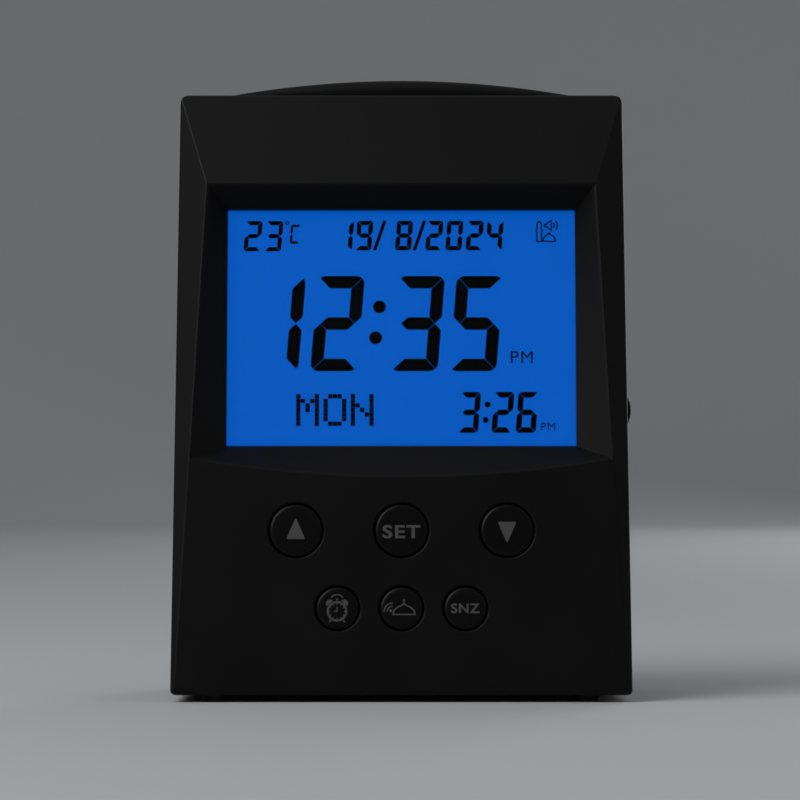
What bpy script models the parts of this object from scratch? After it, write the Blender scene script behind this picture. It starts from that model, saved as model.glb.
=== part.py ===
"""Azan desk clock: a leaning moulded case with a lit display in a funnel recess, six round
buttons, a light bar along the top, a volume wheel on the right side, and a speaker and a
battery compartment at the back.

World frame: +Z up, +X to the right of the clock as its user faces it, the face towards -Y.
The origin is on the table, under the middle of the case.
Two more frames carry most pieces. The face frame stands at the foot of the leaning face:
x across, w into the case, v up the face. The rear frame stands at the foot of the rear
wall: x across, d into the case, h up the wall."""
import math

import bmesh
import bpy
from mathutils import Matrix, Vector

MM = 0.001

# Clearances and cutting allowances
GAP = 0.3 * MM                    # between pieces that touch or slide on each other
OVERRUN = 2 * MM                  # how far a cutter runs past the face that it opens
MERGE = 0.01 * MM                 # corners closer than this are one corner

# Case form. Its width and its height follow from the display and the borders round it.
SIDE_BORDER = 15.2 * MM           # from the window to the case's sides, across the bottom
FACE_BEVEL = 1 * MM               # width of each side bevel at the foot of the face
RIDGE_INSET = 8.2 * MM            # of a ridge's upper end inside its foot
SIDE_TAPER = 1 * MM               # of each side, from the bottom to the top
REAR_TAPER = 1 * MM               # of each side, from the front to the back
BAND_RISE = 26.6 * MM             # height of the band over the display
BAND_SETBACK = 13.2 * MM          # of the band's upper edge behind its lower edge
REAR_SETBACK = 3.5 * MM           # of the rear wall's top in front of its foot
CASE_SPARE = 5.5 * MM             # free depth between the speaker and the boards
LEAN = math.radians(10)           # of the face, from upright
WALL = 2.2 * MM                   # every wall of both shells
PARTING_SPARE = 1 * MM            # from the volume wheel to the joint between the shells
FOOT_ROUND = 2.2 * MM             # rounding of the bottom edges at front and back
FOOT_SIDE_ROUND = 1.5 * MM        # rounding of the bottom edges at the sides
CORNER_ROUND = 0.6 * MM           # rounding between the bevels and the side walls
TOP_ROUND = 1.2 * MM              # rounding of the top front edge
TOP_SIDE_ROUND = 2.5 * MM         # rounding of the top edges at the sides
REAR_ROUND = 4 * MM               # rounding of the rear edges
ROUND_STEPS = 3
SMOOTH_ANGLE = math.radians(35)   # edges sharper than this stay sharp

# Display recess and what stands behind it
WINDOW_WIDTH = 101.6 * MM
WINDOW_HEIGHT = 70.2 * MM
WINDOW_RISE = 13.2 * MM           # of the window above the key board
WINDOW_HEADROOM = 6.3 * MM        # from the window to the top of the face
RECESS_DEPTH = 7 * MM             # from the face to the window opening
RECESS_LAND = 0.4 * MM            # strip of face left between the recess and its ridges
RECESS_SILL = 4.7 * MM            # of the mouth's lower corners below the window
RECESS_SAG = 5.3 * MM             # drop of the mouth's lower edge at its middle
RECESS_STEPS = 12
BOWL_FLOOR = 1 * MM               # thickness of the recess's floor behind the opening
BOWL_MARGIN = 0.6 * MM            # of the recess's floor past the display holder
GLASS_THICK = 1.2 * MM            # clear display window
GLASS_MARGIN = 2.6 * MM           # of the window past its opening, each side
PANEL_MARGIN = 3.2 * MM           # of the display panel past the opening, each side
PANEL_RISE = 3.9 * MM             # of the display panel past the opening, up and down
PANEL_THICK = 2.2 * MM
GUIDE_THICK = 3 * MM
SHEET_THICK = 0.3 * MM            # white reflector sheet behind the light guide
HOLDER_WALL = 2 * MM
STRIP_HEIGHT = 2.8 * MM           # rubber contact strip under the light guide
LAMP_DEPTH = 2.6 * MM             # lamp, from the guide's edge outwards
LAMP_HEIGHT = 3.5 * MM
LAMP_COUNT = 4
LAMP_STRIP = 0.8 * MM             # thickness of the strip that the lamps sit on

# Main board and what it carries
BOARD_THICK = 1.6 * MM
BOARD_LEG = 11.2 * MM             # of its lower edge below the window
BOARD_HEAD = 6.6 * MM             # of its upper edge above the window
BOARD_SIDE_GAP = 0.8 * MM         # from the board's edge to the side walls
BOARD_BOSS_RADIUS = 2.9 * MM
BOARD_BOSS_INSET = 3.1 * MM       # of the boss's axis from the inside of the side wall
BOARD_BOSS_FEET = 9 * MM          # lower bosses above the board's lower edge
BOARD_BOSS_HEADS = 7 * MM         # upper bosses below the board's upper edge
BOARD_PILOT_DEPTH = 7 * MM
CHIP_RADIUS = 8 * MM              # sealed clock chip, a drop of resin
CHIP_HEIGHT = 1.6 * MM
CHIP_SHARES = ((0, 1), (0.5, 0.9), (0.85, 0.55), (1, 0), (0, 0))   # of its radius and height
CHIP_X = -20 * MM
CHIP_RISE = 42 * MM               # above the board's lower edge, as the next ones
SOUND_CHIP_SIZE = (18 * MM, 2.3 * MM, 7.6 * MM)
SOUND_CHIP_X = 14 * MM
SOUND_CHIP_RISE = 14 * MM
CRYSTAL_RADIUS = 1 * MM
CRYSTAL_LENGTH = 6 * MM
CRYSTAL_X = -36 * MM
CAPACITOR_RADIUS = 4 * MM
CAPACITOR_LENGTH = 11 * MM
CAPACITOR_RIM = 0.5 * MM          # chamfer of its end
CAPACITOR_SIDE = 16 * MM          # of its axis from the board's left end
CAPACITOR_RISE = 54 * MM
SENSOR_RADIUS = 1.3 * MM          # temperature bead
SENSOR_STEPS = 6
SENSOR_X = 40 * MM
SENSOR_RISE = 3 * MM

# Key board, keypad and buttons
KEY_BOARD_SIDE = 19 * MM          # from the sides of the case to the key board
KEY_BOARD_FOOT = 12 * MM
KEY_LOW_EDGE = 13.1 * MM          # of the board below the small buttons' axes
KEY_HIGH_EDGE = 12.4 * MM         # of the board above the large buttons' axes
KEY_SIDE_EDGE = 16.7 * MM         # of the board past the outer large buttons' axes
KEYPAD_MARGIN = 3 * MM            # of the board past the keypad, up and down
KEYPAD_SIDE = 6 * MM              # of the board past the keypad, each side
KEYPAD_THICK = 1 * MM
KEY_BOSS_RADIUS = 2.4 * MM
KEY_BOSS_INSET = 2.6 * MM         # of the boss's axis from the sides of the key board
KEY_BOSS_RISE = 4 * MM            # of the boss's axis from its top and bottom
STAKE_RADIUS = 1.4 * MM           # melted pins that hold the small boards and the speaker
STAKE_HEAD_RADIUS = 2.2 * MM
STAKE_HEAD = 1 * MM
BUTTON_RISE = 0.4 * MM            # of a button's top out of the face
BUTTON_TRAVEL = 1 * MM
BUTTON_FLANGE = 1 * MM            # thickness of the flange behind the face
BUTTON_FLANGE_LIP = 1.1 * MM      # of the flange past the cap
BUTTON_ROUND = 0.7 * MM           # rounded rim of a cap
BUTTON_RIM_SHARES = ((2, 0), (1, 0.1), (0.3, 0.4), (0, 1))   # of the rounding, in and down
LARGE_BUTTON_RADIUS = 7.6 * MM
SMALL_BUTTON_RADIUS = 6.15 * MM
BUTTON_ROW_PITCH = 22.5 * MM      # between the two rows
SMALL_BUTTON_PITCH = 18.3 * MM
DOME_SPARE = 1.6 * MM             # height left to a key dome when its button is down
DOME_TOP_SHARE = 0.5              # of the button's radius
DOME_FOOT_SHARE = 0.7             # of the button's radius
RIBBON_WIDTH = 14 * MM
RIBBON_THICK = 0.5 * MM
RIBBON_LAP = 4 * MM               # of the ribbon on each board

# Light bar over its board
BAR_END_INSET = 13.4 * MM         # of its ends from the sides of the case top
BAR_DEPTH = 11 * MM
BAR_RISE = 4.85 * MM              # of its crown over the case top
BAR_SETBACK = 10.6 * MM           # of its middle behind the top front edge
BAR_TRAVEL = 1.2 * MM
BAR_SKIN = 1.6 * MM
BAR_FLANGE = 1.3 * MM             # thickness of the flange under the case top
BAR_FLANGE_LIP = 1.1 * MM
BAR_ARC_STEPS = 20
BAR_POST_RADIUS = 2.4 * MM        # middle post, over the light dome
BAR_SEAT_RADIUS = 3.4 * MM        # spring seats
BAR_SEAT_PITCH = 12 * MM
BAR_POST_LENGTH = 0.7 * MM        # of the middle post under the flange
LIGHT_BOARD_WIDTH = 60 * MM
LIGHT_BOARD_BACK = 1.5 * MM       # from its back edge to the rear wall
LIGHT_BOARD_LEAD = 9.75 * MM      # of its front edge in front of the bar's middle
LIGHT_BOARD_SPARE = 2.9 * MM      # from the bar's flange to the board when the bar is down
LIGHT_DOME_RADIUS = 4.6 * MM
LIGHT_DOME_SHEET = 0.8 * MM
LIGHT_DOME_TOP_SHARE = 0.5        # of its radius
LIGHT_DOME_FOOT_SHARE = 0.75      # of its radius, at its sheet
LIGHT_RIB_X = 24 * MM
LIGHT_RIB_WIDTH = 5.6 * MM
LIGHT_RIB_HEIGHT = 7 * MM
LIGHT_RIB_LENGTH = 20 * MM        # back from inside the band, which cuts it
LIGHT_PIN_SETBACK = 3.5 * MM      # of the pins behind the board's front edge
BAR_SPRING_RADIUS = 2.4 * MM
BAR_SPRING_WIRE = 0.25 * MM       # radius of the wire
BAR_SPRING_TURNS = 3

# Volume wheel on its potentiometer
WHEEL_RADIUS = 9 * MM
WHEEL_THICK = 2.6 * MM
WHEEL_BOARD_RISE = 24 * MM        # of its axis above the board's lower edge
WHEEL_RISE = 2.05 * MM            # of the rim out of the side wall
WHEEL_TEETH = 36
WHEEL_TOOTH = 0.35 * MM           # depth of the grooves round the rim
WHEEL_SLOT_END = 0.5 * MM         # play at each end of the slot
POT_THICK = 1 * MM
POT_LENGTH = 13 * MM
POT_WIDTH = 10 * MM
POT_POST_RADIUS = 1.5 * MM
POT_BORE_RADIUS = 1.1 * MM

# Feet
FEET_HEIGHT = 2 * MM              # clear height under the case
FOOT_RADIUS = 3.8 * MM
FOOT_SHARES = ((0, 1), (1, 1), (1, 0.62), (0.94, 0.5), (0.94, 0.42), (1, 0.3), (1, 0.1),
               (0.94, 0), (0, 0))   # of its radius and height, with a groove round it
FOOT_SEAT = 0.9 * MM              # depth of the seat in the bottom wall
FOOT_SIDE_INSET = 12.8 * MM       # of a foot's middle from the side of the case
FOOT_END_INSET = 8 * MM           # of a foot's middle from the front or back

# Speaker behind its grille
SPEAKER_DROP = 64 * MM            # of its middle below the case top
SPEAKER_RADIUS = 25 * MM
SPEAKER_FLANGE = 1.2 * MM
SPEAKER_BASKET = 7.7 * MM         # depth of the basket behind its flange
SPEAKER_BACK_RADIUS = 14.5 * MM
SPEAKER_SKIN = 1 * MM
SPEAKER_BORE_RADIUS = 9 * MM
MAGNET_RADIUS = 13 * MM
MAGNET_THICK = 5.5 * MM
POLE_RADIUS = 6 * MM
POLE_LENGTH = 2.5 * MM
CONE_THICK = 0.6 * MM
CONE_DEPTH = 4.6 * MM
CONE_CAP_RADIUS = 7.5 * MM
GASKET_THICK = 1 * MM
GASKET_WIDTH = 3.4 * MM
SPEAKER_PIN_OFFSET = 1.8 * MM     # of a pin's axis outside the speaker's rim
GRILLE_RINGS = 3
GRILLE_RING_HOLES = 6             # in the first ring, and as many more in each next one
GRILLE_PITCH = 5.4 * MM
GRILLE_HOLE_RADIUS = 1.2 * MM

# Battery compartment, its cells and its door
CELL_RADIUS = 7.1 * MM            # standard AA cell
CELL_LENGTH = 50.2 * MM
CELL_NUB_RADIUS = 2.7 * MM
CELL_NUB_LENGTH = 1.2 * MM
CELL_EDGE = 0.9 * MM              # chamfer of a cell's ends
CELL_COUNT = 3
CELL_SIDE_GAP = 1 * MM            # between two cells
CELL_FRONT_GAP = 0.9 * MM         # between a cell and the door
CELL_SPRING_SPACE = 5.8 * MM      # for the springs, at one end of each cell
CONTACT_THICK = 0.4 * MM
CONTACT_SIZE = 10 * MM
CELL_SPRING_RADIUS = 4.2 * MM
CELL_SPRING_TIP = 2.4 * MM
CELL_SPRING_WIRE = 0.4 * MM       # radius of the wire
CELL_SPRING_TURNS = 3
BAY_END_GAP = 1.5 * MM            # between the outer cells and the compartment's walls
BAY_WALL = 1.6 * MM
DOOR_THICK = 2 * MM
DOOR_SIDE_LAP = 3 * MM            # of the door past the compartment, each side
DOOR_END_LAP = 2.2 * MM           # of the door past the compartment, top and bottom
DOOR_FOOT = 9 * MM                # height of the door's lower edge up the rear wall
HOOK_WIDTH = 6 * MM
HOOK_X = 18 * MM
HOOK_LENGTH = 2.6 * MM
HOOK_SKIN = 1.1 * MM              # from the outside to the hooks
GRIP_WIDTH = 14 * MM
GRIP_HEIGHT = 8 * MM
GRIP_DEPTH = 0.8 * MM
GRIP_INSET = 3 * MM               # of the finger grip from the door's upper edge
GRIP_RIDGES = 3

# Screws: shank radius, length, head radius, head height
CASE_SCREW = (1.45 * MM, 12 * MM, 2.7 * MM, 2.2 * MM)
BOARD_SCREW = (1.1 * MM, 8 * MM, 2.2 * MM, 1.5 * MM)
WHEEL_SCREW = (0.8 * MM, 2.8 * MM, 2.6 * MM, 1.1 * MM)
SCREW_CROWN_SHARE = 0.7           # flat top of a screw head, of the head's radius
CASE_SCREW_INSET = 8 * MM         # of the case screws' axes from the sides of the case
CASE_SCREW_LOW_V = 20 * MM        # height of the lower ones up the face
CASE_SCREW_RISE = 12.3 * MM       # of the upper ones above the face
CASE_BOSS_RADIUS = 3.4 * MM
CASE_PILOT_DEPTH = 12.5 * MM
TUBE_WALL = 1.2 * MM              # of the screw tubes in the rear shell
TUBE_FLOOR = 2.5 * MM

# Leads inside the case, each a sleeve round two wires
LEAD_RADIUS = 1 * MM
LEAD_MARGIN = 6 * MM              # of a lead's end from what it passes
LEAD_STEPS = 14

# Facets of the round pieces
FINE_STEPS = 24
PLAIN_STEPS = 16
SMALL_STEPS = 8
SPRING_STEPS = 8                  # points in a turn of a spring

# Places across the case and up the face
CASE_WIDTH = WINDOW_WIDTH + 2 * SIDE_BORDER
FACE_WIDTH = CASE_WIDTH - 2 * FACE_BEVEL
RIDGE_TOP_WIDTH = FACE_WIDTH - 2 * RIDGE_INSET
TOP_WIDTH = CASE_WIDTH - 2 * SIDE_TAPER
REAR_WIDTH = CASE_WIDTH - 2 * REAR_TAPER
KEY_BOARD_WIDTH = CASE_WIDTH - 2 * KEY_BOARD_SIDE
LARGE_BUTTON_PITCH = KEY_BOARD_WIDTH / 2 - KEY_SIDE_EDGE
SMALL_BUTTON_V = KEY_BOARD_FOOT + KEY_LOW_EDGE
LARGE_BUTTON_V = SMALL_BUTTON_V + BUTTON_ROW_PITCH
KEY_BOARD_TOP = LARGE_BUTTON_V + KEY_HIGH_EDGE
WINDOW_FOOT = KEY_BOARD_TOP + WINDOW_RISE
WINDOW_TOP = WINDOW_FOOT + WINDOW_HEIGHT
FACE_HEIGHT = WINDOW_TOP + WINDOW_HEADROOM
RECESS_CORNER = WINDOW_FOOT - RECESS_SILL
PANEL_HALF = WINDOW_WIDTH / 2 + PANEL_MARGIN
PANEL_FOOT_V = WINDOW_FOOT - PANEL_RISE
PANEL_TOP_V = WINDOW_TOP + PANEL_RISE
BOARD_FOOT = WINDOW_FOOT - BOARD_LEG
BOARD_TOP = WINDOW_TOP + BOARD_HEAD
CHIP_V = BOARD_FOOT + CHIP_RISE
SOUND_CHIP_V = BOARD_FOOT + SOUND_CHIP_RISE
WHEEL_V = BOARD_FOOT + WHEEL_BOARD_RISE
CASE_SCREW_HIGH_V = FACE_HEIGHT + CASE_SCREW_RISE
CASE_HEIGHT = FACE_HEIGHT * math.cos(LEAN) + BAND_RISE   # without its feet
CASE_TOP = FEET_HEIGHT + CASE_HEIGHT
TOP_SETBACK = FACE_HEIGHT * math.sin(LEAN) + BAND_SETBACK
REAR_TILT = math.atan(REAR_SETBACK / CASE_HEIGHT)

# Places into the case, from the face
BOWL_BACK_W = RECESS_DEPTH + BOWL_FLOOR
GLASS_W = BOWL_BACK_W + GAP
PANEL_W = GLASS_W + GLASS_THICK + GAP
GUIDE_W = PANEL_W + PANEL_THICK + GAP
SHEET_W = GUIDE_W + GUIDE_THICK + GAP
BOARD_W = SHEET_W + SHEET_THICK + GAP
BOARD_BACK_W = BOARD_W + BOARD_THICK
PARTS_W = BOARD_BACK_W + GAP
WHEEL_W = PARTS_W + POT_THICK + GAP
PARTING = WHEEL_W + WHEEL_THICK + PARTING_SPARE   # the joint between the two shells
FLANGE_W = WALL + GAP
FLANGE_BACK_W = FLANGE_W + BUTTON_FLANGE
DOME_HEIGHT = BUTTON_TRAVEL + DOME_SPARE
KEYPAD_W = FLANGE_BACK_W + GAP + DOME_HEIGHT
KEY_BOARD_W = KEYPAD_W + KEYPAD_THICK + GAP
KEY_BOARD_BACK_W = KEY_BOARD_W + BOARD_THICK

# Places in the rear wall, from the outside
GASKET_END_D = WALL + GAP + GASKET_THICK
SPEAKER_FRONT_D = GASKET_END_D + GAP
SPEAKER_FLANGE_BACK_D = SPEAKER_FRONT_D + SPEAKER_FLANGE
SPEAKER_END_D = SPEAKER_FLANGE_BACK_D + SPEAKER_BASKET
MAGNET_END_D = SPEAKER_END_D + GAP + MAGNET_THICK
SPEAKER_H = CASE_HEIGHT - SPEAKER_DROP
CELL_PITCH = 2 * CELL_RADIUS + CELL_SIDE_GAP
CELL_D = DOOR_THICK + CELL_FRONT_GAP + CELL_RADIUS
BAY_BACK_D = CELL_D + CELL_RADIUS + GAP
LEDGE_D = DOOR_THICK + GAP
BAY_HALF = (CELL_LENGTH + CELL_SPRING_SPACE) / 2 + CONTACT_THICK + 2 * GAP
BAY_RISE = (CELL_PITCH * (CELL_COUNT - 1) + 2 * CELL_RADIUS) / 2 + BAY_END_GAP
DOOR_HALF = BAY_HALF + DOOR_SIDE_LAP
DOOR_RISE = BAY_RISE + DOOR_END_LAP
BAY_MIDDLE_H = DOOR_FOOT + DOOR_RISE

# The case is as deep as its boards and its speaker need, at the height of the speaker
SPEAKER_SLOPE = math.tan(LEAN) + math.tan(REAR_TILT)
CASE_DEPTH = PARTS_W / math.cos(LEAN) + MAGNET_END_D + CASE_SPARE + SPEAKER_H * SPEAKER_SLOPE
HALF_DEPTH = CASE_DEPTH / 2

# Places of the light bar, and heights under it
BAR_LENGTH = TOP_WIDTH - 2 * BAR_END_INSET
BAR_RADIUS = (BAR_LENGTH ** 2 / 4 + BAR_RISE ** 2) / (2 * BAR_RISE)   # its ends meet the case top
BAR_FLANGE_Z = CASE_TOP - WALL - GAP
BAR_FLANGE_FOOT_Z = BAR_FLANGE_Z - BAR_FLANGE
LIGHT_BOARD_Z = BAR_FLANGE_FOOT_Z - BAR_TRAVEL - LIGHT_BOARD_SPARE
BAR_Y = -HALF_DEPTH + TOP_SETBACK + BAR_SETBACK
LIGHT_BOARD_FRONT_Y = BAR_Y - LIGHT_BOARD_LEAD
LIGHT_BOARD_BACK_Y = HALF_DEPTH - REAR_SETBACK - WALL - LIGHT_BOARD_BACK
LIGHT_PIN_Y = LIGHT_BOARD_FRONT_Y + LIGHT_PIN_SETBACK
OUT_OF_FACE = (math.pi / 2, 0, 0)   # turns a piece's own +Z to point out of the face
INTO_CASE = (-math.pi / 2, 0, 0)    # turns a piece's own +Z to point into the case

for old in list(bpy.data.objects):
    bpy.data.objects.remove(old, do_unlink=True)

clock = bpy.data.collections.new("azan_clock")
cutters = bpy.data.collections.new("cutters")
bpy.context.scene.collection.children.link(clock)
bpy.context.scene.collection.children.link(cutters)

face_frame = bpy.data.objects.new("face_frame", None)
clock.objects.link(face_frame)
face_frame.location = (0, -HALF_DEPTH, FEET_HEIGHT)
face_frame.rotation_euler = (-LEAN, 0, 0)

rear_frame = bpy.data.objects.new("rear_frame", None)
clock.objects.link(rear_frame)
rear_frame.location = (0, HALF_DEPTH, FEET_HEIGHT)
rear_frame.rotation_euler = (REAR_TILT, 0, 0)


def material(name, colour, roughness, metallic=0.0, alpha=1.0):
    """A plain Principled material."""
    made = bpy.data.materials.new(name)
    made.use_nodes = True
    shader = made.node_tree.nodes["Principled BSDF"]
    shader.inputs["Base Color"].default_value = (*colour, 1)
    shader.inputs["Roughness"].default_value = roughness
    shader.inputs["Metallic"].default_value = metallic
    shader.inputs["Alpha"].default_value = alpha
    made.diffuse_color = (*colour, alpha)
    return made


CASE_PLASTIC = material("case_plastic", (0.018, 0.018, 0.02), 0.45)
BUTTON_PLASTIC = material("button_plastic", (0.015, 0.015, 0.017), 0.5)
WHEEL_PLASTIC = material("wheel_plastic", (0.006, 0.006, 0.006), 0.5)
WHITE_PLASTIC = material("white_plastic", (0.7, 0.7, 0.68), 0.5)
FOOT_RUBBER = material("foot_rubber", (0.01, 0.01, 0.01), 0.7)
KEY_RUBBER = material("key_rubber", (0.35, 0.35, 0.36), 0.7)
FOAM = material("foam", (0.03, 0.03, 0.03), 0.9)
CLEAR_PLASTIC = material("clear_plastic", (0.9, 0.95, 1.0), 0.05, alpha=0.35)
DISPLAY_BLUE = material("display_blue", (0.0, 0.1, 0.5), 0.2)
BOARD_GREEN = material("board_green", (0.02, 0.16, 0.06), 0.4)
RESIN_BLACK = material("resin_black", (0.01, 0.01, 0.01), 0.3)
STEEL = material("steel", (0.6, 0.6, 0.6), 0.3, metallic=1.0)
MAGNET_STEEL = material("magnet_steel", (0.3, 0.3, 0.32), 0.45, metallic=1.0)
CONE_PAPER = material("cone_paper", (0.02, 0.02, 0.02), 0.9)
CELL_SLEEVE = material("cell_sleeve", (0.05, 0.12, 0.3), 0.35)
LEAD_RED = material("lead_red", (0.5, 0.02, 0.02), 0.5)
LEAD_GREY = material("lead_grey", (0.3, 0.3, 0.3), 0.5)


def face_point(x, w, v):
    """World place of a point given in the face frame."""
    across = Vector((x, -HALF_DEPTH, FEET_HEIGHT))
    deep = Vector((0, math.cos(LEAN), -math.sin(LEAN)))
    up = Vector((0, math.sin(LEAN), math.cos(LEAN)))
    return across + w * deep + v * up


def rear_point(x, d, h):
    """World place of a point given in the rear frame."""
    across = Vector((x, HALF_DEPTH, FEET_HEIGHT))
    deep = Vector((0, -math.cos(REAR_TILT), -math.sin(REAR_TILT)))
    up = Vector((0, -math.sin(REAR_TILT), math.cos(REAR_TILT)))
    return across + d * deep + h * up


def plane_through(a, b, c):
    """The plane through three corners, as a point and a normal that points out of the case."""
    middle = Vector((0, 0, FEET_HEIGHT + CASE_HEIGHT / 2))
    normal = (b - a).cross(c - a).normalized()
    if normal.dot(middle - a) > 0:
        normal.negate()
    return a, normal


def case_planes():
    """The named planes of the case's outer form."""
    planes = []
    for sign in (-1, 1):
        ridge_foot = face_point(sign * FACE_WIDTH / 2, 0, 0)
        ridge_top = face_point(sign * RIDGE_TOP_WIDTH / 2, 0, FACE_HEIGHT)
        top_front = Vector((sign * TOP_WIDTH / 2, TOP_SETBACK - HALF_DEPTH, CASE_TOP))
        side_foot = Vector((sign * CASE_WIDTH / 2, -HALF_DEPTH, FEET_HEIGHT))
        rear_foot = Vector((sign * REAR_WIDTH / 2, HALF_DEPTH, FEET_HEIGHT))
        planes.append(("bevel", *plane_through(ridge_foot, ridge_top, top_front)))
        planes.append(("side", *plane_through(side_foot, top_front, rear_foot)))
    across = Vector((CASE_WIDTH, 0, 0))
    planes.append(("face", *plane_through(ridge_foot, ridge_foot - across, ridge_top)))
    planes.append(("band", *plane_through(ridge_top, ridge_top - across, top_front)))
    planes.append(("rear", rear_foot, Vector((0, math.cos(REAR_TILT), math.sin(REAR_TILT)))))
    planes.append(("bottom", rear_foot, Vector((0, 0, -1))))
    planes.append(("top", top_front, Vector((0, 0, 1))))
    return planes


def side_at(point):
    """Half the case's outer width at the height and depth of a world point."""
    for name, corner, normal in case_planes():
        if name == "side" and normal.x > 0:
            return corner.x - ((point - corner).yz.dot(normal.yz)) / normal.x


def ridge_at(v):
    """Half the width of the face at a height up the face."""
    return (FACE_WIDTH + (RIDGE_TOP_WIDTH - FACE_WIDTH) * v / FACE_HEIGHT) / 2


def add_box(bm, low, high):
    """A box between two corners."""
    corners = bmesh.ops.create_cube(bm, size=1)["verts"]
    low, high = Vector(low), Vector(high)
    bmesh.ops.scale(bm, vec=high - low, verts=corners)
    bmesh.ops.translate(bm, vec=(low + high) / 2, verts=corners)


def add_cylinder(bm, start, end, radius, steps=PLAIN_STEPS, end_radius=None):
    """A cylinder, or a cone, from one point to another."""
    start, end = Vector(start), Vector(end)
    along = end - start
    made = bmesh.ops.create_cone(
        bm, cap_ends=True, segments=steps, depth=along.length,
        radius1=radius, radius2=radius if end_radius is None else end_radius)
    place = Matrix.Translation((start + end) / 2) @ along.to_track_quat("Z", "Y").to_matrix().to_4x4()
    bmesh.ops.transform(bm, matrix=place, verts=made["verts"])


def add_loft(bm, sections):
    """A closed solid through sections that have as many points each, its sides in triangles
    because they twist."""
    rings = [[bm.verts.new(point) for point in section] for section in sections]
    for ring, following in zip(rings, rings[1:]):
        for i in range(len(ring)):
            j = (i + 1) % len(ring)
            bm.faces.new((ring[i], ring[j], following[j]))
            bm.faces.new((ring[i], following[j], following[i]))
    bm.faces.new(rings[0])
    bm.faces.new(rings[-1])


def mesh_of(name, bm):
    """A finished mesh: faces out, non-flat faces split, smooth but for its edges."""
    bmesh.ops.recalc_face_normals(bm, faces=bm.faces[:])
    mesh = bpy.data.meshes.new(name)
    bm.to_mesh(mesh)
    bm.free()
    mesh.shade_smooth()
    mesh.set_sharp_from_angle(angle=SMOOTH_ANGLE)
    return mesh


def place(name, data, finish, parent=None, location=(0, 0, 0), rotation=(0, 0, 0)):
    """A named piece of the clock."""
    piece = bpy.data.objects.new(name, data)
    clock.objects.link(piece)
    piece.parent = parent
    piece.location = location
    piece.rotation_euler = rotation
    data.materials.append(finish)
    return piece


def cutter(name, bm, parent=None):
    """A tool for the Boolean cuts, kept out of the renders."""
    tool = bpy.data.objects.new(name, mesh_of(name, bm))
    cutters.objects.link(tool)
    tool.parent = parent
    tool.hide_render = True
    tool.display_type = "WIRE"
    return tool


def boolean(target, operation, tool):
    """One exact Boolean step."""
    step = target.modifiers.new(tool.name, "BOOLEAN")
    step.operation = operation
    step.object = tool
    step.solver = "EXACT"


def turned(name, profile, finish, steps=PLAIN_STEPS, closed=False, **placing):
    """A profile of (radius, height) points, down its outer side, turned about its own Z."""
    edges = [(i, i + 1) for i in range(len(profile) - 1)]
    if closed:
        edges.append((len(profile) - 1, 0))
    mesh = bpy.data.meshes.new(name)
    mesh.from_pydata([(radius, 0, height) for radius, height in profile], edges, [])
    piece = place(name, mesh, finish, **placing)
    turn = piece.modifiers.new("turn", "SCREW")
    turn.axis = "Z"
    turn.steps = steps
    turn.render_steps = steps
    turn.use_merge_vertices = True
    turn.merge_threshold = MERGE
    return piece


def screw_profile(screw):
    """A pan-head screw, its head's underside at height zero and its shank below."""
    shank, length, head, height = screw
    return [(0, height), (head * SCREW_CROWN_SHARE, height), (head, height / 2), (head, 0),
            (shank, 0), (shank, shank - length), (shank / 2, -length), (0, -length)]


def flat_mesh(name, outline, thickness):
    """A flat outline in XY, given a thickness along Z."""
    curve = bpy.data.curves.new(name, "CURVE")
    curve.dimensions = "2D"
    curve.fill_mode = "BOTH"
    curve.extrude = thickness / 2
    spline = curve.splines.new("POLY")
    spline.points.add(len(outline) - 1)
    spline.use_cyclic_u = True
    for point, (x, y) in zip(spline.points, outline):
        point.co = (x, y, 0, 1)
    drawn = bpy.data.objects.new(name, curve)
    cutters.objects.link(drawn)
    graph = bpy.context.evaluated_depsgraph_get()
    mesh = bpy.data.meshes.new_from_object(drawn.evaluated_get(graph))
    bpy.data.objects.remove(drawn)
    bpy.data.curves.remove(curve)
    bm = bmesh.new()
    bm.from_mesh(mesh)
    bpy.data.meshes.remove(mesh)
    bmesh.ops.remove_doubles(bm, verts=bm.verts[:], dist=MERGE)
    return mesh_of(name, bm)


def wire_curve(name, route, radius, sides):
    """A round wire along a route of points, as a curve with filled ends."""
    curve = bpy.data.curves.new(name, "CURVE")
    curve.dimensions = "3D"
    curve.bevel_depth = radius
    curve.bevel_resolution = sides
    curve.use_fill_caps = True
    spline = curve.splines.new("POLY")
    spline.points.add(len(route) - 1)
    for point, spot in zip(spline.points, route):
        point.co = (*spot, 1)
    return curve


def wire_mesh(name, route, radius, sides):
    """The same wire as a closed mesh, for a Boolean."""
    curve = wire_curve(name, route, radius, sides)
    drawn = bpy.data.objects.new(name, curve)
    cutters.objects.link(drawn)
    graph = bpy.context.evaluated_depsgraph_get()
    mesh = bpy.data.meshes.new_from_object(drawn.evaluated_get(graph))
    bpy.data.objects.remove(drawn)
    bpy.data.curves.remove(curve)
    bm = bmesh.new()
    bm.from_mesh(mesh)
    bpy.data.meshes.remove(mesh)
    bmesh.ops.remove_doubles(bm, verts=bm.verts[:], dist=MERGE)
    return bm


def smooth_route(knots, steps):
    """Points on the smooth curve through a few knots."""
    knots = [Vector(knot) for knot in knots]
    ends = [2 * knots[0] - knots[1]] + knots + [2 * knots[-1] - knots[-2]]
    route = []
    for i in range(steps + 1):
        place_on = i / steps * (len(knots) - 1)
        leg = min(int(place_on), len(knots) - 2)
        t = place_on - leg
        a, b, c, d = ends[leg:leg + 4]
        route.append(b + (c - a) * (t / 2) + (a - 2.5 * b + 2 * c - 0.5 * d) * t ** 2
                     + (-0.5 * a + 1.5 * b - 1.5 * c + 0.5 * d) * t ** 3)
    return route


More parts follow.
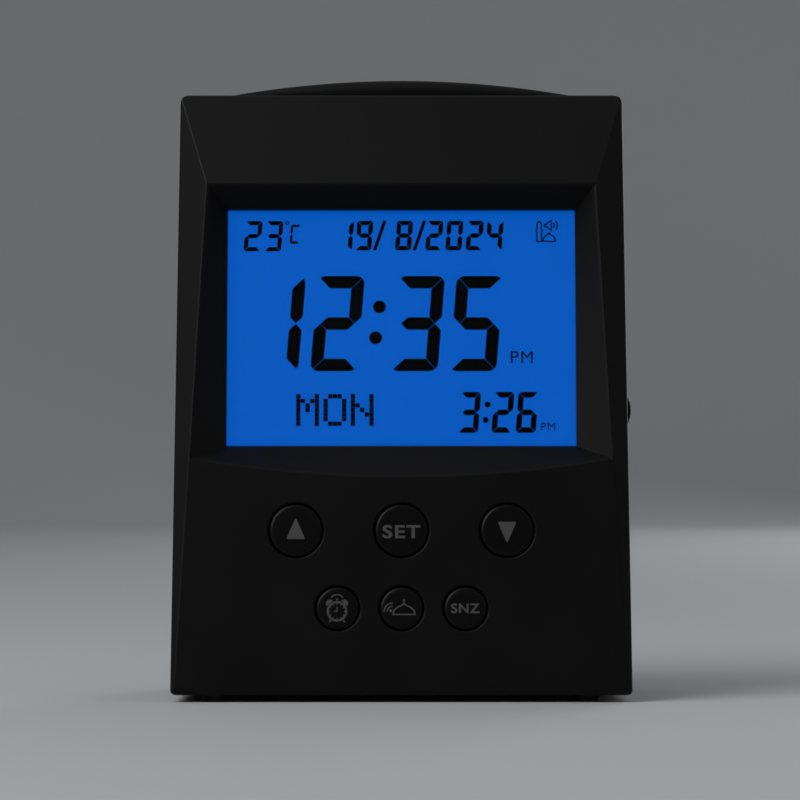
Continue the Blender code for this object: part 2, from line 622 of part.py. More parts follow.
def helix(start, end, turns, start_radius, end_radius):
    """Points of a coil spring between two points on its axis."""
    start, end = Vector(start), Vector(end)
    side = (end - start).orthogonal().normalized()
    other = (end - start).cross(side).normalized()
    count = turns * SPRING_STEPS
    points = []
    for i in range(count + 1):
        share = i / count
        angle = math.tau * turns * share
        radius = start_radius + (end_radius - start_radius) * share
        outwards = math.cos(angle) * side + math.sin(angle) * other
        points.append(start.lerp(end, share) + radius * outwards)
    return points


# Case form, shared by both shells and by their hollow

def planed_block(bm, inset):
    """The case's outer form, or its hollow where the planes move in by a wall."""
    bmesh.ops.create_cube(bm, size=2 * (CASE_WIDTH + CASE_DEPTH + CASE_HEIGHT))
    for _, corner, normal in case_planes():
        cut = bmesh.ops.bisect_plane(
            bm, geom=bm.verts[:] + bm.edges[:] + bm.faces[:],
            plane_co=corner - normal * inset, plane_no=normal, clear_outer=True)["geom_cut"]
        rim = [part for part in cut if isinstance(part, bmesh.types.BMEdge)]
        bmesh.ops.edgeloop_fill(bm, edges=rim)
    bmesh.ops.remove_doubles(bm, verts=bm.verts[:], dist=MERGE)
    bmesh.ops.recalc_face_normals(bm, faces=bm.faces[:])


ROUNDINGS = {
    ("bottom", "face"): FOOT_ROUND,
    ("bevel", "bottom"): FOOT_ROUND,
    ("bottom", "side"): FOOT_SIDE_ROUND,
    ("bottom", "rear"): FOOT_ROUND,
    ("bevel", "side"): CORNER_ROUND,
    ("band", "top"): TOP_ROUND,
    ("side", "top"): TOP_SIDE_ROUND,
    ("rear", "top"): REAR_ROUND,
    ("rear", "side"): REAR_ROUND,
}


def weigh_edges(bm):
    """Writes each edge's rounding, as a share of the widest, for the Bevel modifier."""
    widest = max(ROUNDINGS.values())
    layer = bm.edges.layers.float.new("bevel_weight_edge")
    planes = case_planes()
    for edge in bm.edges:
        names = []
        for face in edge.link_faces:
            names.append(max(planes, key=lambda plane: plane[2].dot(face.normal))[0])
        edge[layer] = ROUNDINGS.get(tuple(sorted(names)), 0) / widest


def case_shell(name, parting_side):
    """One shell of the case before its openings: the rounded block, cut at the parting."""
    bm = bmesh.new()
    planed_block(bm, 0)
    weigh_edges(bm)
    shell = place(name, mesh_of(name, bm), CASE_PLASTIC)
    rounding = shell.modifiers.new("rounding", "BEVEL")
    rounding.limit_method = "WEIGHT"
    rounding.width = max(ROUNDINGS.values())
    rounding.segments = ROUND_STEPS
    reach = CASE_WIDTH + CASE_HEIGHT
    bm = bmesh.new()
    if parting_side == "front":
        add_box(bm, (-reach, PARTING - GAP / 2, -reach), (reach, reach, reach))
    else:
        add_box(bm, (-reach, -reach, -reach), (reach, PARTING + GAP / 2, reach))
    boolean(shell, "DIFFERENCE", cutter(name + "_parting", bm, face_frame))
    return shell


def case_hollow(name):
    """The room inside the walls, as a cutter."""
    bm = bmesh.new()
    planed_block(bm, WALL)
    return cutter(name, bm)


# Display recess: a funnel from the ridges down to the window opening

def mouth_outline(margin):
    """The recess's mouth on the face, x and v, with its sagging lower edge, grown by a margin."""
    corner_half = ridge_at(RECESS_CORNER) - RECESS_LAND
    radius = (corner_half ** 2 + RECESS_SAG ** 2) / (2 * RECESS_SAG)
    reach = math.asin(corner_half / radius)
    outline = []
    for i in range(RECESS_STEPS + 1):
        angle = reach * (2 * i / RECESS_STEPS - 1)
        drop = radius * (math.cos(angle) - math.cos(reach))
        outline.append(((radius + margin) * math.sin(angle), RECESS_CORNER - drop - margin))
    top = FACE_HEIGHT - RECESS_LAND
    top_half = ridge_at(top) - RECESS_LAND
    outline.append((top_half + margin, top + margin))
    outline.append((-top_half - margin, top + margin))
    return outline


def frame_outline(half, foot, top):
    """A rectangle with as many points as the mouth, x and v."""
    outline = []
    for i in range(RECESS_STEPS + 1):
        outline.append((half * (2 * i / RECESS_STEPS - 1), foot))
    outline.append((half, top))
    outline.append((-half, top))
    return outline


def at_depth(outline, w):
    """An outline as points of the face frame, at a depth into the case."""
    return [(x, w, v) for x, v in outline]


def recess_cutter():
    """The funnel and the window opening."""
    mouth = mouth_outline(0)
    opening = frame_outline(WINDOW_WIDTH / 2, WINDOW_FOOT, WINDOW_TOP)
    spread = OVERRUN / RECESS_DEPTH
    outside = [(mx + (mx - ox) * spread, mv + (mv - ov) * spread)
               for (mx, mv), (ox, ov) in zip(mouth, opening)]
    bm = bmesh.new()
    add_loft(bm, [at_depth(outside, -OVERRUN), at_depth(opening, RECESS_DEPTH),
                  at_depth(opening, BOWL_BACK_W + OVERRUN)])
    return cutter("recess", bm, face_frame)


def bowl_cutter():
    """The outside of the recess's walls, which the hollow leaves standing."""
    grow = HOLDER_WALL + GAP + BOWL_MARGIN
    floor = frame_outline(PANEL_HALF + grow, PANEL_FOOT_V - grow, PANEL_TOP_V + grow)
    bm = bmesh.new()
    add_loft(bm, [at_depth(mouth_outline(WALL), 0), at_depth(floor, BOWL_BACK_W)])
    return cutter("bowl", bm, face_frame)


# Shared places of fasteners and buttons, in x and v

def board_half():
    """Half the main board's width, from the side walls at its upper corners."""
    return side_at(face_point(0, BOARD_W, BOARD_TOP)) - WALL - BOARD_SIDE_GAP


def board_boss_x():
    return side_at(face_point(0, BOARD_W, BOARD_TOP)) - WALL - BOARD_BOSS_INSET


def board_boss_places():
    heights = (BOARD_FOOT + BOARD_BOSS_FEET, BOARD_TOP - BOARD_BOSS_HEADS)
    return [(side * board_boss_x(), v) for side in (-1, 1) for v in heights]


def key_boss_places():
    x = KEY_BOARD_WIDTH / 2 - KEY_BOSS_INSET
    heights = (KEY_BOARD_FOOT + KEY_BOSS_RISE, KEY_BOARD_TOP - KEY_BOSS_RISE)
    return [(side * x, v) for side in (-1, 1) for v in heights]


def case_screw_places():
    places = []
    for v in (CASE_SCREW_LOW_V, CASE_SCREW_HIGH_V):
        x = side_at(face_point(0, PARTING, v)) - CASE_SCREW_INSET
        places += [(-x, v), (x, v)]
    return places


def speaker_pin_places():
    offset = (SPEAKER_RADIUS + SPEAKER_PIN_OFFSET) / math.sqrt(2)
    return [(side * offset, SPEAKER_H + rise * offset) for side in (-1, 1) for rise in (-1, 1)]


BUTTONS = [
    ("button_up", -LARGE_BUTTON_PITCH, LARGE_BUTTON_V, LARGE_BUTTON_RADIUS),
    ("button_set", 0, LARGE_BUTTON_V, LARGE_BUTTON_RADIUS),
    ("button_down", LARGE_BUTTON_PITCH, LARGE_BUTTON_V, LARGE_BUTTON_RADIUS),
    ("button_alarm", -SMALL_BUTTON_PITCH, SMALL_BUTTON_V, SMALL_BUTTON_RADIUS),
    ("button_call", 0, SMALL_BUTTON_V, SMALL_BUTTON_RADIUS),
    ("button_snooze", SMALL_BUTTON_PITCH, SMALL_BUTTON_V, SMALL_BUTTON_RADIUS),
]


def wheel_x():
    """The wheel's axis, so that its rim stands out of the side wall."""
    side = side_at(face_point(0, WHEEL_W + WHEEL_THICK / 2, WHEEL_V))
    return side + WHEEL_RISE - WHEEL_RADIUS


def bar_opening(name):
    """The opening for the light bar, through both shells' top wall."""
    half = BAR_LENGTH / 2 + GAP
    deep = BAR_DEPTH / 2 + GAP
    bm = bmesh.new()
    add_box(bm, (-half, BAR_Y - deep, CASE_TOP - WALL - OVERRUN),
            (half, BAR_Y + deep, CASE_TOP + OVERRUN))
    return cutter(name, bm)


def foot_places():
    """Each foot's name and its place on the table."""
    x = CASE_WIDTH / 2 - FOOT_SIDE_INSET
    y = HALF_DEPTH - FOOT_END_INSET
    return {
        "foot_front_left": (-x, -y), "foot_front_right": (x, -y),
        "foot_rear_left": (-x, y), "foot_rear_right": (x, y),
    }


def add_foot_seats(bm, end):
    """The round seats in the bottom wall for the feet of one end."""
    for name, (x, y) in foot_places().items():
        if end in name:
            seat = FEET_HEIGHT + FOOT_SEAT
            add_cylinder(bm, (x, y, seat - FOOT_SEAT - OVERRUN), (x, y, seat), FOOT_RADIUS + GAP)


def add_stakes(hollow, name, lines, frame=None):
    """Pins with melted heads, left standing in a hollow, each from its foot to its end."""
    pins, heads = bmesh.new(), bmesh.new()
    for foot, end in lines:
        foot, end = Vector(foot), Vector(end)
        head = (end - foot).normalized() * STAKE_HEAD
        add_cylinder(pins, foot, end - head / 2, STAKE_RADIUS, SMALL_STEPS)
        add_cylinder(heads, end - head, end, STAKE_HEAD_RADIUS, SMALL_STEPS)
    boolean(hollow, "DIFFERENCE", cutter(name + "_pins", pins, frame))
    boolean(hollow, "DIFFERENCE", cutter(name + "_heads", heads, frame))


# Front case

def front_case():
    shell = case_shell("front_case", "front")
    hollow = case_hollow("front_hollow")
    boolean(hollow, "DIFFERENCE", bowl_cutter())

    bm = bmesh.new()
    for x, v in board_boss_places():
        add_cylinder(bm, (x, WALL / 2, v), (x, BOARD_W - GAP, v), BOARD_BOSS_RADIUS)
    for x, v in key_boss_places():
        add_cylinder(bm, (x, WALL / 2, v), (x, KEY_BOARD_W - GAP, v), KEY_BOSS_RADIUS)
    for x, v in case_screw_places():
        add_cylinder(bm, (x, WALL / 2, v), (x, PARTING + OVERRUN, v), CASE_BOSS_RADIUS)
    boolean(hollow, "DIFFERENCE", cutter("front_bosses", bm, face_frame))

    bm = bmesh.new()
    rib_top = LIGHT_BOARD_Z - BOARD_THICK - GAP
    rib_back = LIGHT_PIN_Y + LIGHT_RIB_WIDTH / 2
    for side in (-1, 1):
        x = side * LIGHT_RIB_X
        add_box(bm, (x - LIGHT_RIB_WIDTH / 2, rib_back - LIGHT_RIB_LENGTH, rib_top - LIGHT_RIB_HEIGHT),
                (x + LIGHT_RIB_WIDTH / 2, rib_back, rib_top))
    boolean(hollow, "DIFFERENCE", cutter("light_ribs", bm))
    add_stakes(hollow, "key", [((x, KEYPAD_W, v), (x, KEY_BOARD_BACK_W + GAP + STAKE_HEAD, v))
                               for x, v in key_boss_places()], face_frame)
    add_stakes(hollow, "light", [((side * LIGHT_RIB_X, LIGHT_PIN_Y, rib_top - LIGHT_RIB_HEIGHT / 2),
                                  (side * LIGHT_RIB_X, LIGHT_PIN_Y, LIGHT_BOARD_Z + GAP + STAKE_HEAD))
                                 for side in (-1, 1)])
    boolean(shell, "DIFFERENCE", hollow)
    boolean(shell, "DIFFERENCE", recess_cutter())

    bm = bmesh.new()
    for _, x, v, radius in BUTTONS:
        add_cylinder(bm, (x, -OVERRUN, v), (x, WALL + OVERRUN / 2, v), radius + GAP, FINE_STEPS)
    for x, v in board_boss_places():
        add_cylinder(bm, (x, BOARD_W - GAP - BOARD_PILOT_DEPTH, v), (x, BOARD_W, v),
                     BOARD_SCREW[0] + GAP, SMALL_STEPS)
    for x, v in case_screw_places():
        add_cylinder(bm, (x, PARTING - CASE_PILOT_DEPTH, v), (x, PARTING, v),
                     CASE_SCREW[0] + GAP, SMALL_STEPS)
    half = math.sqrt(WHEEL_RADIUS ** 2 - (WHEEL_RADIUS - WHEEL_RISE - WALL) ** 2) + WHEEL_SLOT_END
    add_box(bm, (wheel_x(), WHEEL_W - GAP, WHEEL_V - half),
            (wheel_x() + 2 * WHEEL_RADIUS, PARTING, WHEEL_V + half))
    boolean(shell, "DIFFERENCE", cutter("front_openings", bm, face_frame))

    bm = bmesh.new()
    add_foot_seats(bm, "front")
    boolean(shell, "DIFFERENCE", cutter("front_seats", bm))
    boolean(shell, "DIFFERENCE", bar_opening("front_bar_opening"))


# Rear case

def rear_case():
    shell = case_shell("rear_case", "rear")
    hollow = case_hollow("rear_hollow")

    bm = bmesh.new()
    lip = GAP + BAY_WALL
    add_box(bm, (-DOOR_HALF - lip, -LEDGE_D - BAY_WALL, BAY_MIDDLE_H - DOOR_RISE - lip),
            (DOOR_HALF + lip, -WALL / 2, BAY_MIDDLE_H + DOOR_RISE + lip))
    boolean(hollow, "DIFFERENCE", cutter("bay_ledge", bm, rear_frame))
    bm = bmesh.new()
    add_box(bm, (-BAY_HALF - BAY_WALL, -BAY_BACK_D - BAY_WALL, BAY_MIDDLE_H - BAY_RISE - BAY_WALL),
            (BAY_HALF + BAY_WALL, -WALL / 2, BAY_MIDDLE_H + BAY_RISE + BAY_WALL))
    boolean(hollow, "DIFFERENCE", cutter("bay_tub", bm, rear_frame))

    bm = bmesh.new()
    tube_radius = CASE_SCREW[2] + GAP + TUBE_WALL
    for x, v in case_screw_places():
        add_cylinder(bm, (x, PARTING - OVERRUN, v), (x, 2 * CASE_DEPTH, v), tube_radius)
    boolean(hollow, "DIFFERENCE", cutter("screw_tubes", bm, face_frame))

    add_stakes(hollow, "speaker", [((x, -WALL / 2, h), (x, -SPEAKER_FLANGE_BACK_D - GAP - STAKE_HEAD, h))
                                   for x, h in speaker_pin_places()], rear_frame)
    boolean(shell, "DIFFERENCE", hollow)

    bm = bmesh.new()
    half, rise = DOOR_HALF + GAP, DOOR_RISE + GAP
    add_box(bm, (-half, -LEDGE_D, BAY_MIDDLE_H - rise), (half, OVERRUN, BAY_MIDDLE_H + rise))
    boolean(shell, "DIFFERENCE", cutter("door_opening", bm, rear_frame))
    bm = bmesh.new()
    add_box(bm, (-BAY_HALF, -BAY_BACK_D, BAY_MIDDLE_H - BAY_RISE), (BAY_HALF, 0, BAY_MIDDLE_H + BAY_RISE))
    boolean(shell, "DIFFERENCE", cutter("bay", bm, rear_frame))
    bm = bmesh.new()
    hook_half = HOOK_WIDTH / 2 + GAP
    for side in (-1, 1):
        x = side * HOOK_X
        add_box(bm, (x - hook_half, -LEDGE_D - BAY_WALL - OVERRUN / 2, DOOR_FOOT - HOOK_LENGTH - GAP),
                (x + hook_half, GAP - HOOK_SKIN, BAY_MIDDLE_H - BAY_RISE + OVERRUN / 2))
    boolean(shell, "DIFFERENCE", cutter("hook_slots", bm, rear_frame))

    bm = bmesh.new()
    for ring in range(GRILLE_RINGS + 1):
        holes = max(1, GRILLE_RING_HOLES * ring)
        for i in range(holes):
            angle = math.tau * i / holes
            x = ring * GRILLE_PITCH * math.cos(angle)
            h = SPEAKER_H + ring * GRILLE_PITCH * math.sin(angle)
            add_cylinder(bm, (x, OVERRUN, h), (x, -WALL - OVERRUN / 2, h),
                         GRILLE_HOLE_RADIUS, SMALL_STEPS)
    boolean(shell, "DIFFERENCE", cutter("rear_holes", bm, rear_frame))

    bm = bmesh.new()
    for x, v in case_screw_places():
        add_cylinder(bm, (x, PARTING - OVERRUN, v), (x, PARTING + TUBE_FLOOR + OVERRUN, v),
                     CASE_SCREW[0] + GAP, SMALL_STEPS)
    boolean(shell, "DIFFERENCE", cutter("screw_clearances", bm, face_frame))
    bm = bmesh.new()
    for x, v in case_screw_places():
        add_cylinder(bm, (x, PARTING + GAP / 2 + TUBE_FLOOR, v), (x, 2 * CASE_DEPTH, v),
                     CASE_SCREW[2] + GAP)
    boolean(shell, "DIFFERENCE", cutter("screw_counterbores", bm, face_frame))

    bm = bmesh.new()
    add_foot_seats(bm, "rear")
    boolean(shell, "DIFFERENCE", cutter("rear_seats", bm))
    boolean(shell, "DIFFERENCE", bar_opening("rear_bar_opening"))


# Display stack, from the clear window back to the reflector

def display_stack():
    def plate(name, half, foot, top, start, thick, finish):
        bm = bmesh.new()
        add_box(bm, (-half, start, foot), (half, start + thick, top))
        return place(name, mesh_of(name, bm), finish, parent=face_frame)

    plate("display_window", WINDOW_WIDTH / 2 + GLASS_MARGIN, WINDOW_FOOT - GLASS_MARGIN,
          WINDOW_TOP + GLASS_MARGIN, GLASS_W, GLASS_THICK, CLEAR_PLASTIC)
    plate("lcd_panel", PANEL_HALF, PANEL_FOOT_V, PANEL_TOP_V, PANEL_W, PANEL_THICK, DISPLAY_BLUE)

    strip_top = PANEL_FOOT_V + STRIP_HEIGHT
    lamp_start = PANEL_HALF - LAMP_DEPTH
    guide_end = lamp_start - GAP
    for name, start, thick, finish in (
            ("light_guide", GUIDE_W, GUIDE_THICK, CLEAR_PLASTIC),
            ("reflector_sheet", SHEET_W, SHEET_THICK, WHITE_PLASTIC)):
        bm = bmesh.new()
        add_box(bm, (-PANEL_HALF, start, strip_top + GAP), (guide_end, start + thick, PANEL_TOP_V))
        place(name, mesh_of(name, bm), finish, parent=face_frame)

    bm = bmesh.new()
    add_box(bm, (-PANEL_HALF, GUIDE_W, PANEL_FOOT_V), (guide_end, BOARD_W - GAP, strip_top))
    place("contact_strip", mesh_of("contact_strip", bm), KEY_RUBBER, parent=face_frame)

    bm = bmesh.new()
    add_box(bm, (PANEL_HALF - LAMP_STRIP, GUIDE_W, PANEL_FOOT_V), (PANEL_HALF, BOARD_W - GAP, PANEL_TOP_V))
    lamps = place("backlight_lamps", mesh_of("backlight_lamps", bm), WHITE_PLASTIC, parent=face_frame)
    bm = bmesh.new()
    for i in range(LAMP_COUNT):
        v = PANEL_FOOT_V + (PANEL_TOP_V - PANEL_FOOT_V) * (i + 0.5) / LAMP_COUNT
        add_box(bm, (lamp_start, GUIDE_W + GAP, v - LAMP_HEIGHT / 2),
                (PANEL_HALF - LAMP_STRIP / 2, SHEET_W - GAP, v + LAMP_HEIGHT / 2))
    boolean(lamps, "UNION", cutter("lamps", bm, face_frame))

    bm = bmesh.new()
    grow = GAP + HOLDER_WALL
    add_box(bm, (-PANEL_HALF - grow, GLASS_W, PANEL_FOOT_V - grow),
            (PANEL_HALF + grow, BOARD_W - GAP, PANEL_TOP_V + grow))
    holder = place("display_holder", mesh_of("display_holder", bm), WHITE_PLASTIC, parent=face_frame)
    bm = bmesh.new()
    add_box(bm, (-PANEL_HALF - GAP, GLASS_W - OVERRUN, PANEL_FOOT_V - GAP),
            (PANEL_HALF + GAP, BOARD_W + OVERRUN, PANEL_TOP_V + GAP))
    boolean(holder, "DIFFERENCE", cutter("holder_opening", bm, face_frame))


# Boards

def board(name, half, start, foot, top, places, hole):
    """A flat board of the face frame with its screw holes."""
    bm = bmesh.new()
    add_box(bm, (-half, start, foot), (half, start + BOARD_THICK, top))
    made = place(name, mesh_of(name, bm), BOARD_GREEN, parent=face_frame)
    bm = bmesh.new()
    for x, v in places:
        add_cylinder(bm, (x, start - OVERRUN / 2, v), (x, start + BOARD_THICK + OVERRUN / 2, v),
                     hole, SMALL_STEPS)
    boolean(made, "DIFFERENCE", cutter(name + "_holes", bm, face_frame))


def board_parts():
    """What the main board carries on its back."""
    drop = [(CHIP_RADIUS * out, CHIP_HEIGHT * up) for out, up in CHIP_SHARES]
    turned("clock_chip", drop, RESIN_BLACK, parent=face_frame,
           location=(CHIP_X, PARTS_W, CHIP_V), rotation=INTO_CASE)

    width, height, depth = SOUND_CHIP_SIZE
    bm = bmesh.new()
    add_box(bm, (SOUND_CHIP_X - width / 2, PARTS_W, SOUND_CHIP_V - depth / 2),
            (SOUND_CHIP_X + width / 2, PARTS_W + height, SOUND_CHIP_V + depth / 2))
    place("sound_chip", mesh_of("sound_chip", bm), RESIN_BLACK, parent=face_frame)

    bm = bmesh.new()
    w = PARTS_W + CRYSTAL_RADIUS
    reach = CRYSTAL_LENGTH / 2
    add_cylinder(bm, (CRYSTAL_X, w, CHIP_V - reach), (CRYSTAL_X, w, CHIP_V + reach),
                 CRYSTAL_RADIUS, SMALL_STEPS)
    place("crystal", mesh_of("crystal", bm), STEEL, parent=face_frame)

    radius, rim, length = CAPACITOR_RADIUS, CAPACITOR_RIM, CAPACITOR_LENGTH
    can = [(0, length), (radius - rim, length), (radius, length - rim), (radius, 0), (0, 0)]
    turned("board_capacitor", can, CELL_SLEEVE, parent=face_frame,
           location=(CAPACITOR_SIDE - board_half(), PARTS_W, BOARD_FOOT + CAPACITOR_RISE), rotation=INTO_CASE)

    bead = []
    for i in range(SENSOR_STEPS + 1):
        angle = math.pi * i / SENSOR_STEPS
        bead.append((SENSOR_RADIUS * math.sin(angle), SENSOR_RADIUS * (1 + math.cos(angle))))
    turned("temperature_sensor", bead, RESIN_BLACK, steps=SMALL_STEPS, parent=face_frame,
           location=(SENSOR_X, PARTS_W, BOARD_FOOT + SENSOR_RISE), rotation=INTO_CASE)


def screws(name, screw, places, w):
    """Equal screws, each its own piece, their heads towards the back."""
    for number, (x, v) in enumerate(places, 1):
        turned(f"{name}_{number}", screw_profile(screw), STEEL, steps=SMALL_STEPS, parent=face_frame,
               location=(x, w, v), rotation=INTO_CASE)


def ribbon():
    """The flat cable from the key board's back to the main board's front."""
    low_w = KEY_BOARD_BACK_W + GAP + RIBBON_THICK / 2
    high_w = BOARD_W - GAP - RIBBON_THICK / 2
    key_top = KEY_BOARD_TOP
    knots = [(0, low_w, key_top - RIBBON_LAP), (0, low_w + RIBBON_THICK, key_top),
             (0, (low_w + high_w) / 2, (key_top + BOARD_FOOT) / 2 + RIBBON_THICK),
             (0, high_w - RIBBON_THICK, BOARD_FOOT + RIBBON_LAP / 4), (0, high_w, BOARD_FOOT + RIBBON_LAP)]
    middle = smooth_route(knots, LEAD_STEPS)
    bm = bmesh.new()
    sides = (-RIBBON_WIDTH / 2, RIBBON_WIDTH / 2)
    rows = [[bm.verts.new((x, spot.y, spot.z)) for x in sides] for spot in middle]
    for row, following in zip(rows, rows[1:]):
        bm.faces.new((row[0], row[1], following[1], following[0]))
    made = place("key_ribbon", mesh_of("key_ribbon", bm), LEAD_GREY, parent=face_frame)
    skin = made.modifiers.new("thickness", "SOLIDIFY")
    skin.thickness = RIBBON_THICK
    skin.offset = 0


# Keypad and buttons

def keypad():
    bm = bmesh.new()
    half = KEY_BOARD_WIDTH / 2 - KEYPAD_SIDE
    add_box(bm, (-half, KEYPAD_W, KEY_BOARD_FOOT + KEYPAD_MARGIN),
            (half, KEYPAD_W + KEYPAD_THICK, KEY_BOARD_TOP - KEYPAD_MARGIN))
    sheet = place("keypad_membrane", mesh_of("keypad_membrane", bm), KEY_RUBBER, parent=face_frame)
    bm = bmesh.new()
    for _, x, v, radius in BUTTONS:
        add_cylinder(bm, (x, KEYPAD_W + KEYPAD_THICK / 2, v), (x, KEYPAD_W - DOME_HEIGHT, v),
                     radius * DOME_FOOT_SHARE, PLAIN_STEPS, radius * DOME_TOP_SHARE)
    boolean(sheet, "UNION", cutter("key_domes", bm, face_frame))


def buttons():
    for name, x, v, radius in BUTTONS:
        profile = [(0, BUTTON_RISE)]
        for inwards, down in BUTTON_RIM_SHARES:
            profile.append((radius - BUTTON_ROUND * inwards, BUTTON_RISE - BUTTON_ROUND * down))
        lip = radius + BUTTON_FLANGE_LIP
        profile += [(radius, -FLANGE_W), (lip, -FLANGE_W), (lip, -FLANGE_BACK_W), (0, -FLANGE_BACK_W)]
        turned(name, profile, BUTTON_PLASTIC, steps=FINE_STEPS, parent=face_frame,
               location=(x, 0, v), rotation=OUT_OF_FACE)


# Light bar, its board, its rubber dome and its springs

def arch_outline(half, radius, crown, foot):
    """An arched outline in x and height over the bar's own origin."""
    outline = [(-half, foot), (half, foot)]
    for i in range(BAR_ARC_STEPS + 1):
        x = half * (1 - 2 * i / BAR_ARC_STEPS)
        outline.append((x, crown - radius + math.sqrt(radius ** 2 - x ** 2)))
    return outline


def light_bar():
    """Its own origin is on the case top, at the middle of its opening."""
    flange_top = BAR_FLANGE_Z - CASE_TOP
    flange_foot = BAR_FLANGE_FOOT_Z - CASE_TOP
    half, deep = BAR_LENGTH / 2, BAR_DEPTH / 2
    spot = (0, BAR_Y, CASE_TOP)
    body = flat_mesh("light_bar", arch_outline(half, BAR_RADIUS, BAR_RISE, flange_foot), BAR_DEPTH)
    bar = place("light_bar", body, CASE_PLASTIC, location=spot, rotation=OUT_OF_FACE)

    bm = bmesh.new()
    lip = BAR_FLANGE_LIP
    add_box(bm, (-half - lip, flange_foot, -deep - lip), (half + lip, flange_top, deep + lip))
    boolean(bar, "UNION", cutter("bar_flange", bm, bar))

    inner_arch = arch_outline(half - BAR_SKIN, BAR_RADIUS - BAR_SKIN, BAR_RISE - BAR_SKIN,
                              flange_foot - OVERRUN)
    pocket = flat_mesh("bar_pocket", inner_arch, BAR_DEPTH - 2 * BAR_SKIN)
    bm = bmesh.new()
    bm.from_mesh(pocket)
    bpy.data.meshes.remove(pocket)
    boolean(bar, "DIFFERENCE", cutter("bar_pocket", bm, bar))

    bm = bmesh.new()
    inside = BAR_RISE - BAR_SKIN / 2
    add_cylinder(bm, (0, inside, 0), (0, flange_foot - BAR_POST_LENGTH, 0), BAR_POST_RADIUS)
    for side in (-1, 1):
        x = side * BAR_SEAT_PITCH
        add_cylinder(bm, (x, inside, 0), (x, flange_foot, 0), BAR_SEAT_RADIUS)
    boolean(bar, "UNION", cutter("bar_posts", bm, bar))


def light_board():
    half, top = LIGHT_BOARD_WIDTH / 2, LIGHT_BOARD_Z
    bm = bmesh.new()
    add_box(bm, (-half, LIGHT_BOARD_FRONT_Y, top - BOARD_THICK), (half, LIGHT_BOARD_BACK_Y, top))
    made = place("light_board", mesh_of("light_board", bm), BOARD_GREEN)
    bm = bmesh.new()
    for side in (-1, 1):
        x = side * LIGHT_RIB_X
        start, end = top - BOARD_THICK - OVERRUN / 2, top + OVERRUN / 2
        add_cylinder(bm, (x, LIGHT_PIN_Y, start), (x, LIGHT_PIN_Y, end),
                     STAKE_RADIUS + GAP, SMALL_STEPS)
    boolean(made, "DIFFERENCE", cutter("light_board_holes", bm))

    seat = top + GAP
    height = BAR_FLANGE_FOOT_Z - BAR_POST_LENGTH - GAP - seat
    radius, thick = LIGHT_DOME_RADIUS, LIGHT_DOME_SHEET
    dome = [(0, height), (radius * LIGHT_DOME_TOP_SHARE, height), (radius * LIGHT_DOME_FOOT_SHARE, thick),
            (radius, thick), (radius, 0), (0, 0)]
    turned("light_dome", dome, KEY_RUBBER, location=(0, BAR_Y, seat))

    low = seat + BAR_SPRING_WIRE
    high = BAR_FLANGE_FOOT_Z - GAP - BAR_SPRING_WIRE
    for name, side in (("bar_spring_left", -1), ("bar_spring_right", 1)):
        x = side * BAR_SEAT_PITCH
        radius = BAR_SPRING_RADIUS
        coil = helix((x, BAR_Y, low), (x, BAR_Y, high), BAR_SPRING_TURNS, radius, radius)
        place(name, wire_curve(name, coil, BAR_SPRING_WIRE, 1), STEEL)


# Volume wheel

def volume_wheel():
    outline = []
    for i in range(2 * WHEEL_TEETH):
        radius = WHEEL_RADIUS - (i % 2) * WHEEL_TOOTH
        angle = math.pi * i / WHEEL_TEETH
        outline.append((radius * math.cos(angle), radius * math.sin(angle)))
    spot = (wheel_x(), WHEEL_W + WHEEL_THICK / 2, WHEEL_V)
    wheel = place("volume_wheel", flat_mesh("volume_wheel", outline, WHEEL_THICK), WHEEL_PLASTIC,
                  parent=face_frame, location=spot, rotation=INTO_CASE)
    bm = bmesh.new()
    add_cylinder(bm, (0, 0, -WHEEL_THICK), (0, 0, WHEEL_THICK), POT_POST_RADIUS + GAP)
    boolean(wheel, "DIFFERENCE", cutter("wheel_bore", bm, wheel))


def volume_pot():
    x, post_end = wheel_x(), WHEEL_W + WHEEL_THICK + GAP
    bm = bmesh.new()
    add_box(bm, (x - POT_LENGTH + POT_POST_RADIUS * 2, PARTS_W, WHEEL_V - POT_WIDTH / 2),
            (x + POT_POST_RADIUS * 2, PARTS_W + POT_THICK, WHEEL_V + POT_WIDTH / 2))
    pot = place("volume_pot", mesh_of("volume_pot", bm), RESIN_BLACK, parent=face_frame)
    bm = bmesh.new()
    add_cylinder(bm, (x, PARTS_W + POT_THICK / 2, WHEEL_V), (x, post_end, WHEEL_V), POT_POST_RADIUS)
    boolean(pot, "UNION", cutter("pot_post", bm, face_frame))
    bm = bmesh.new()
    add_cylinder(bm, (x, post_end - WHEEL_SCREW[1], WHEEL_V), (x, post_end + OVERRUN, WHEEL_V),
                 POT_BORE_RADIUS, SMALL_STEPS)
    boolean(pot, "DIFFERENCE", cutter("pot_bore", bm, face_frame))
    turned("wheel_screw", screw_profile(WHEEL_SCREW), STEEL, steps=SMALL_STEPS, parent=face_frame,
           location=(x, post_end + GAP, WHEEL_V), rotation=INTO_CASE)


# Feet

def feet():
    height = FEET_HEIGHT + FOOT_SEAT - GAP
    profile = [(FOOT_RADIUS * out, height * up) for out, up in FOOT_SHARES]
    for name, (x, y) in foot_places().items():
        turned(name, profile, FOOT_RUBBER, location=(x, y, 0))


# Speaker, turned about an axis that points into the case from the rear wall

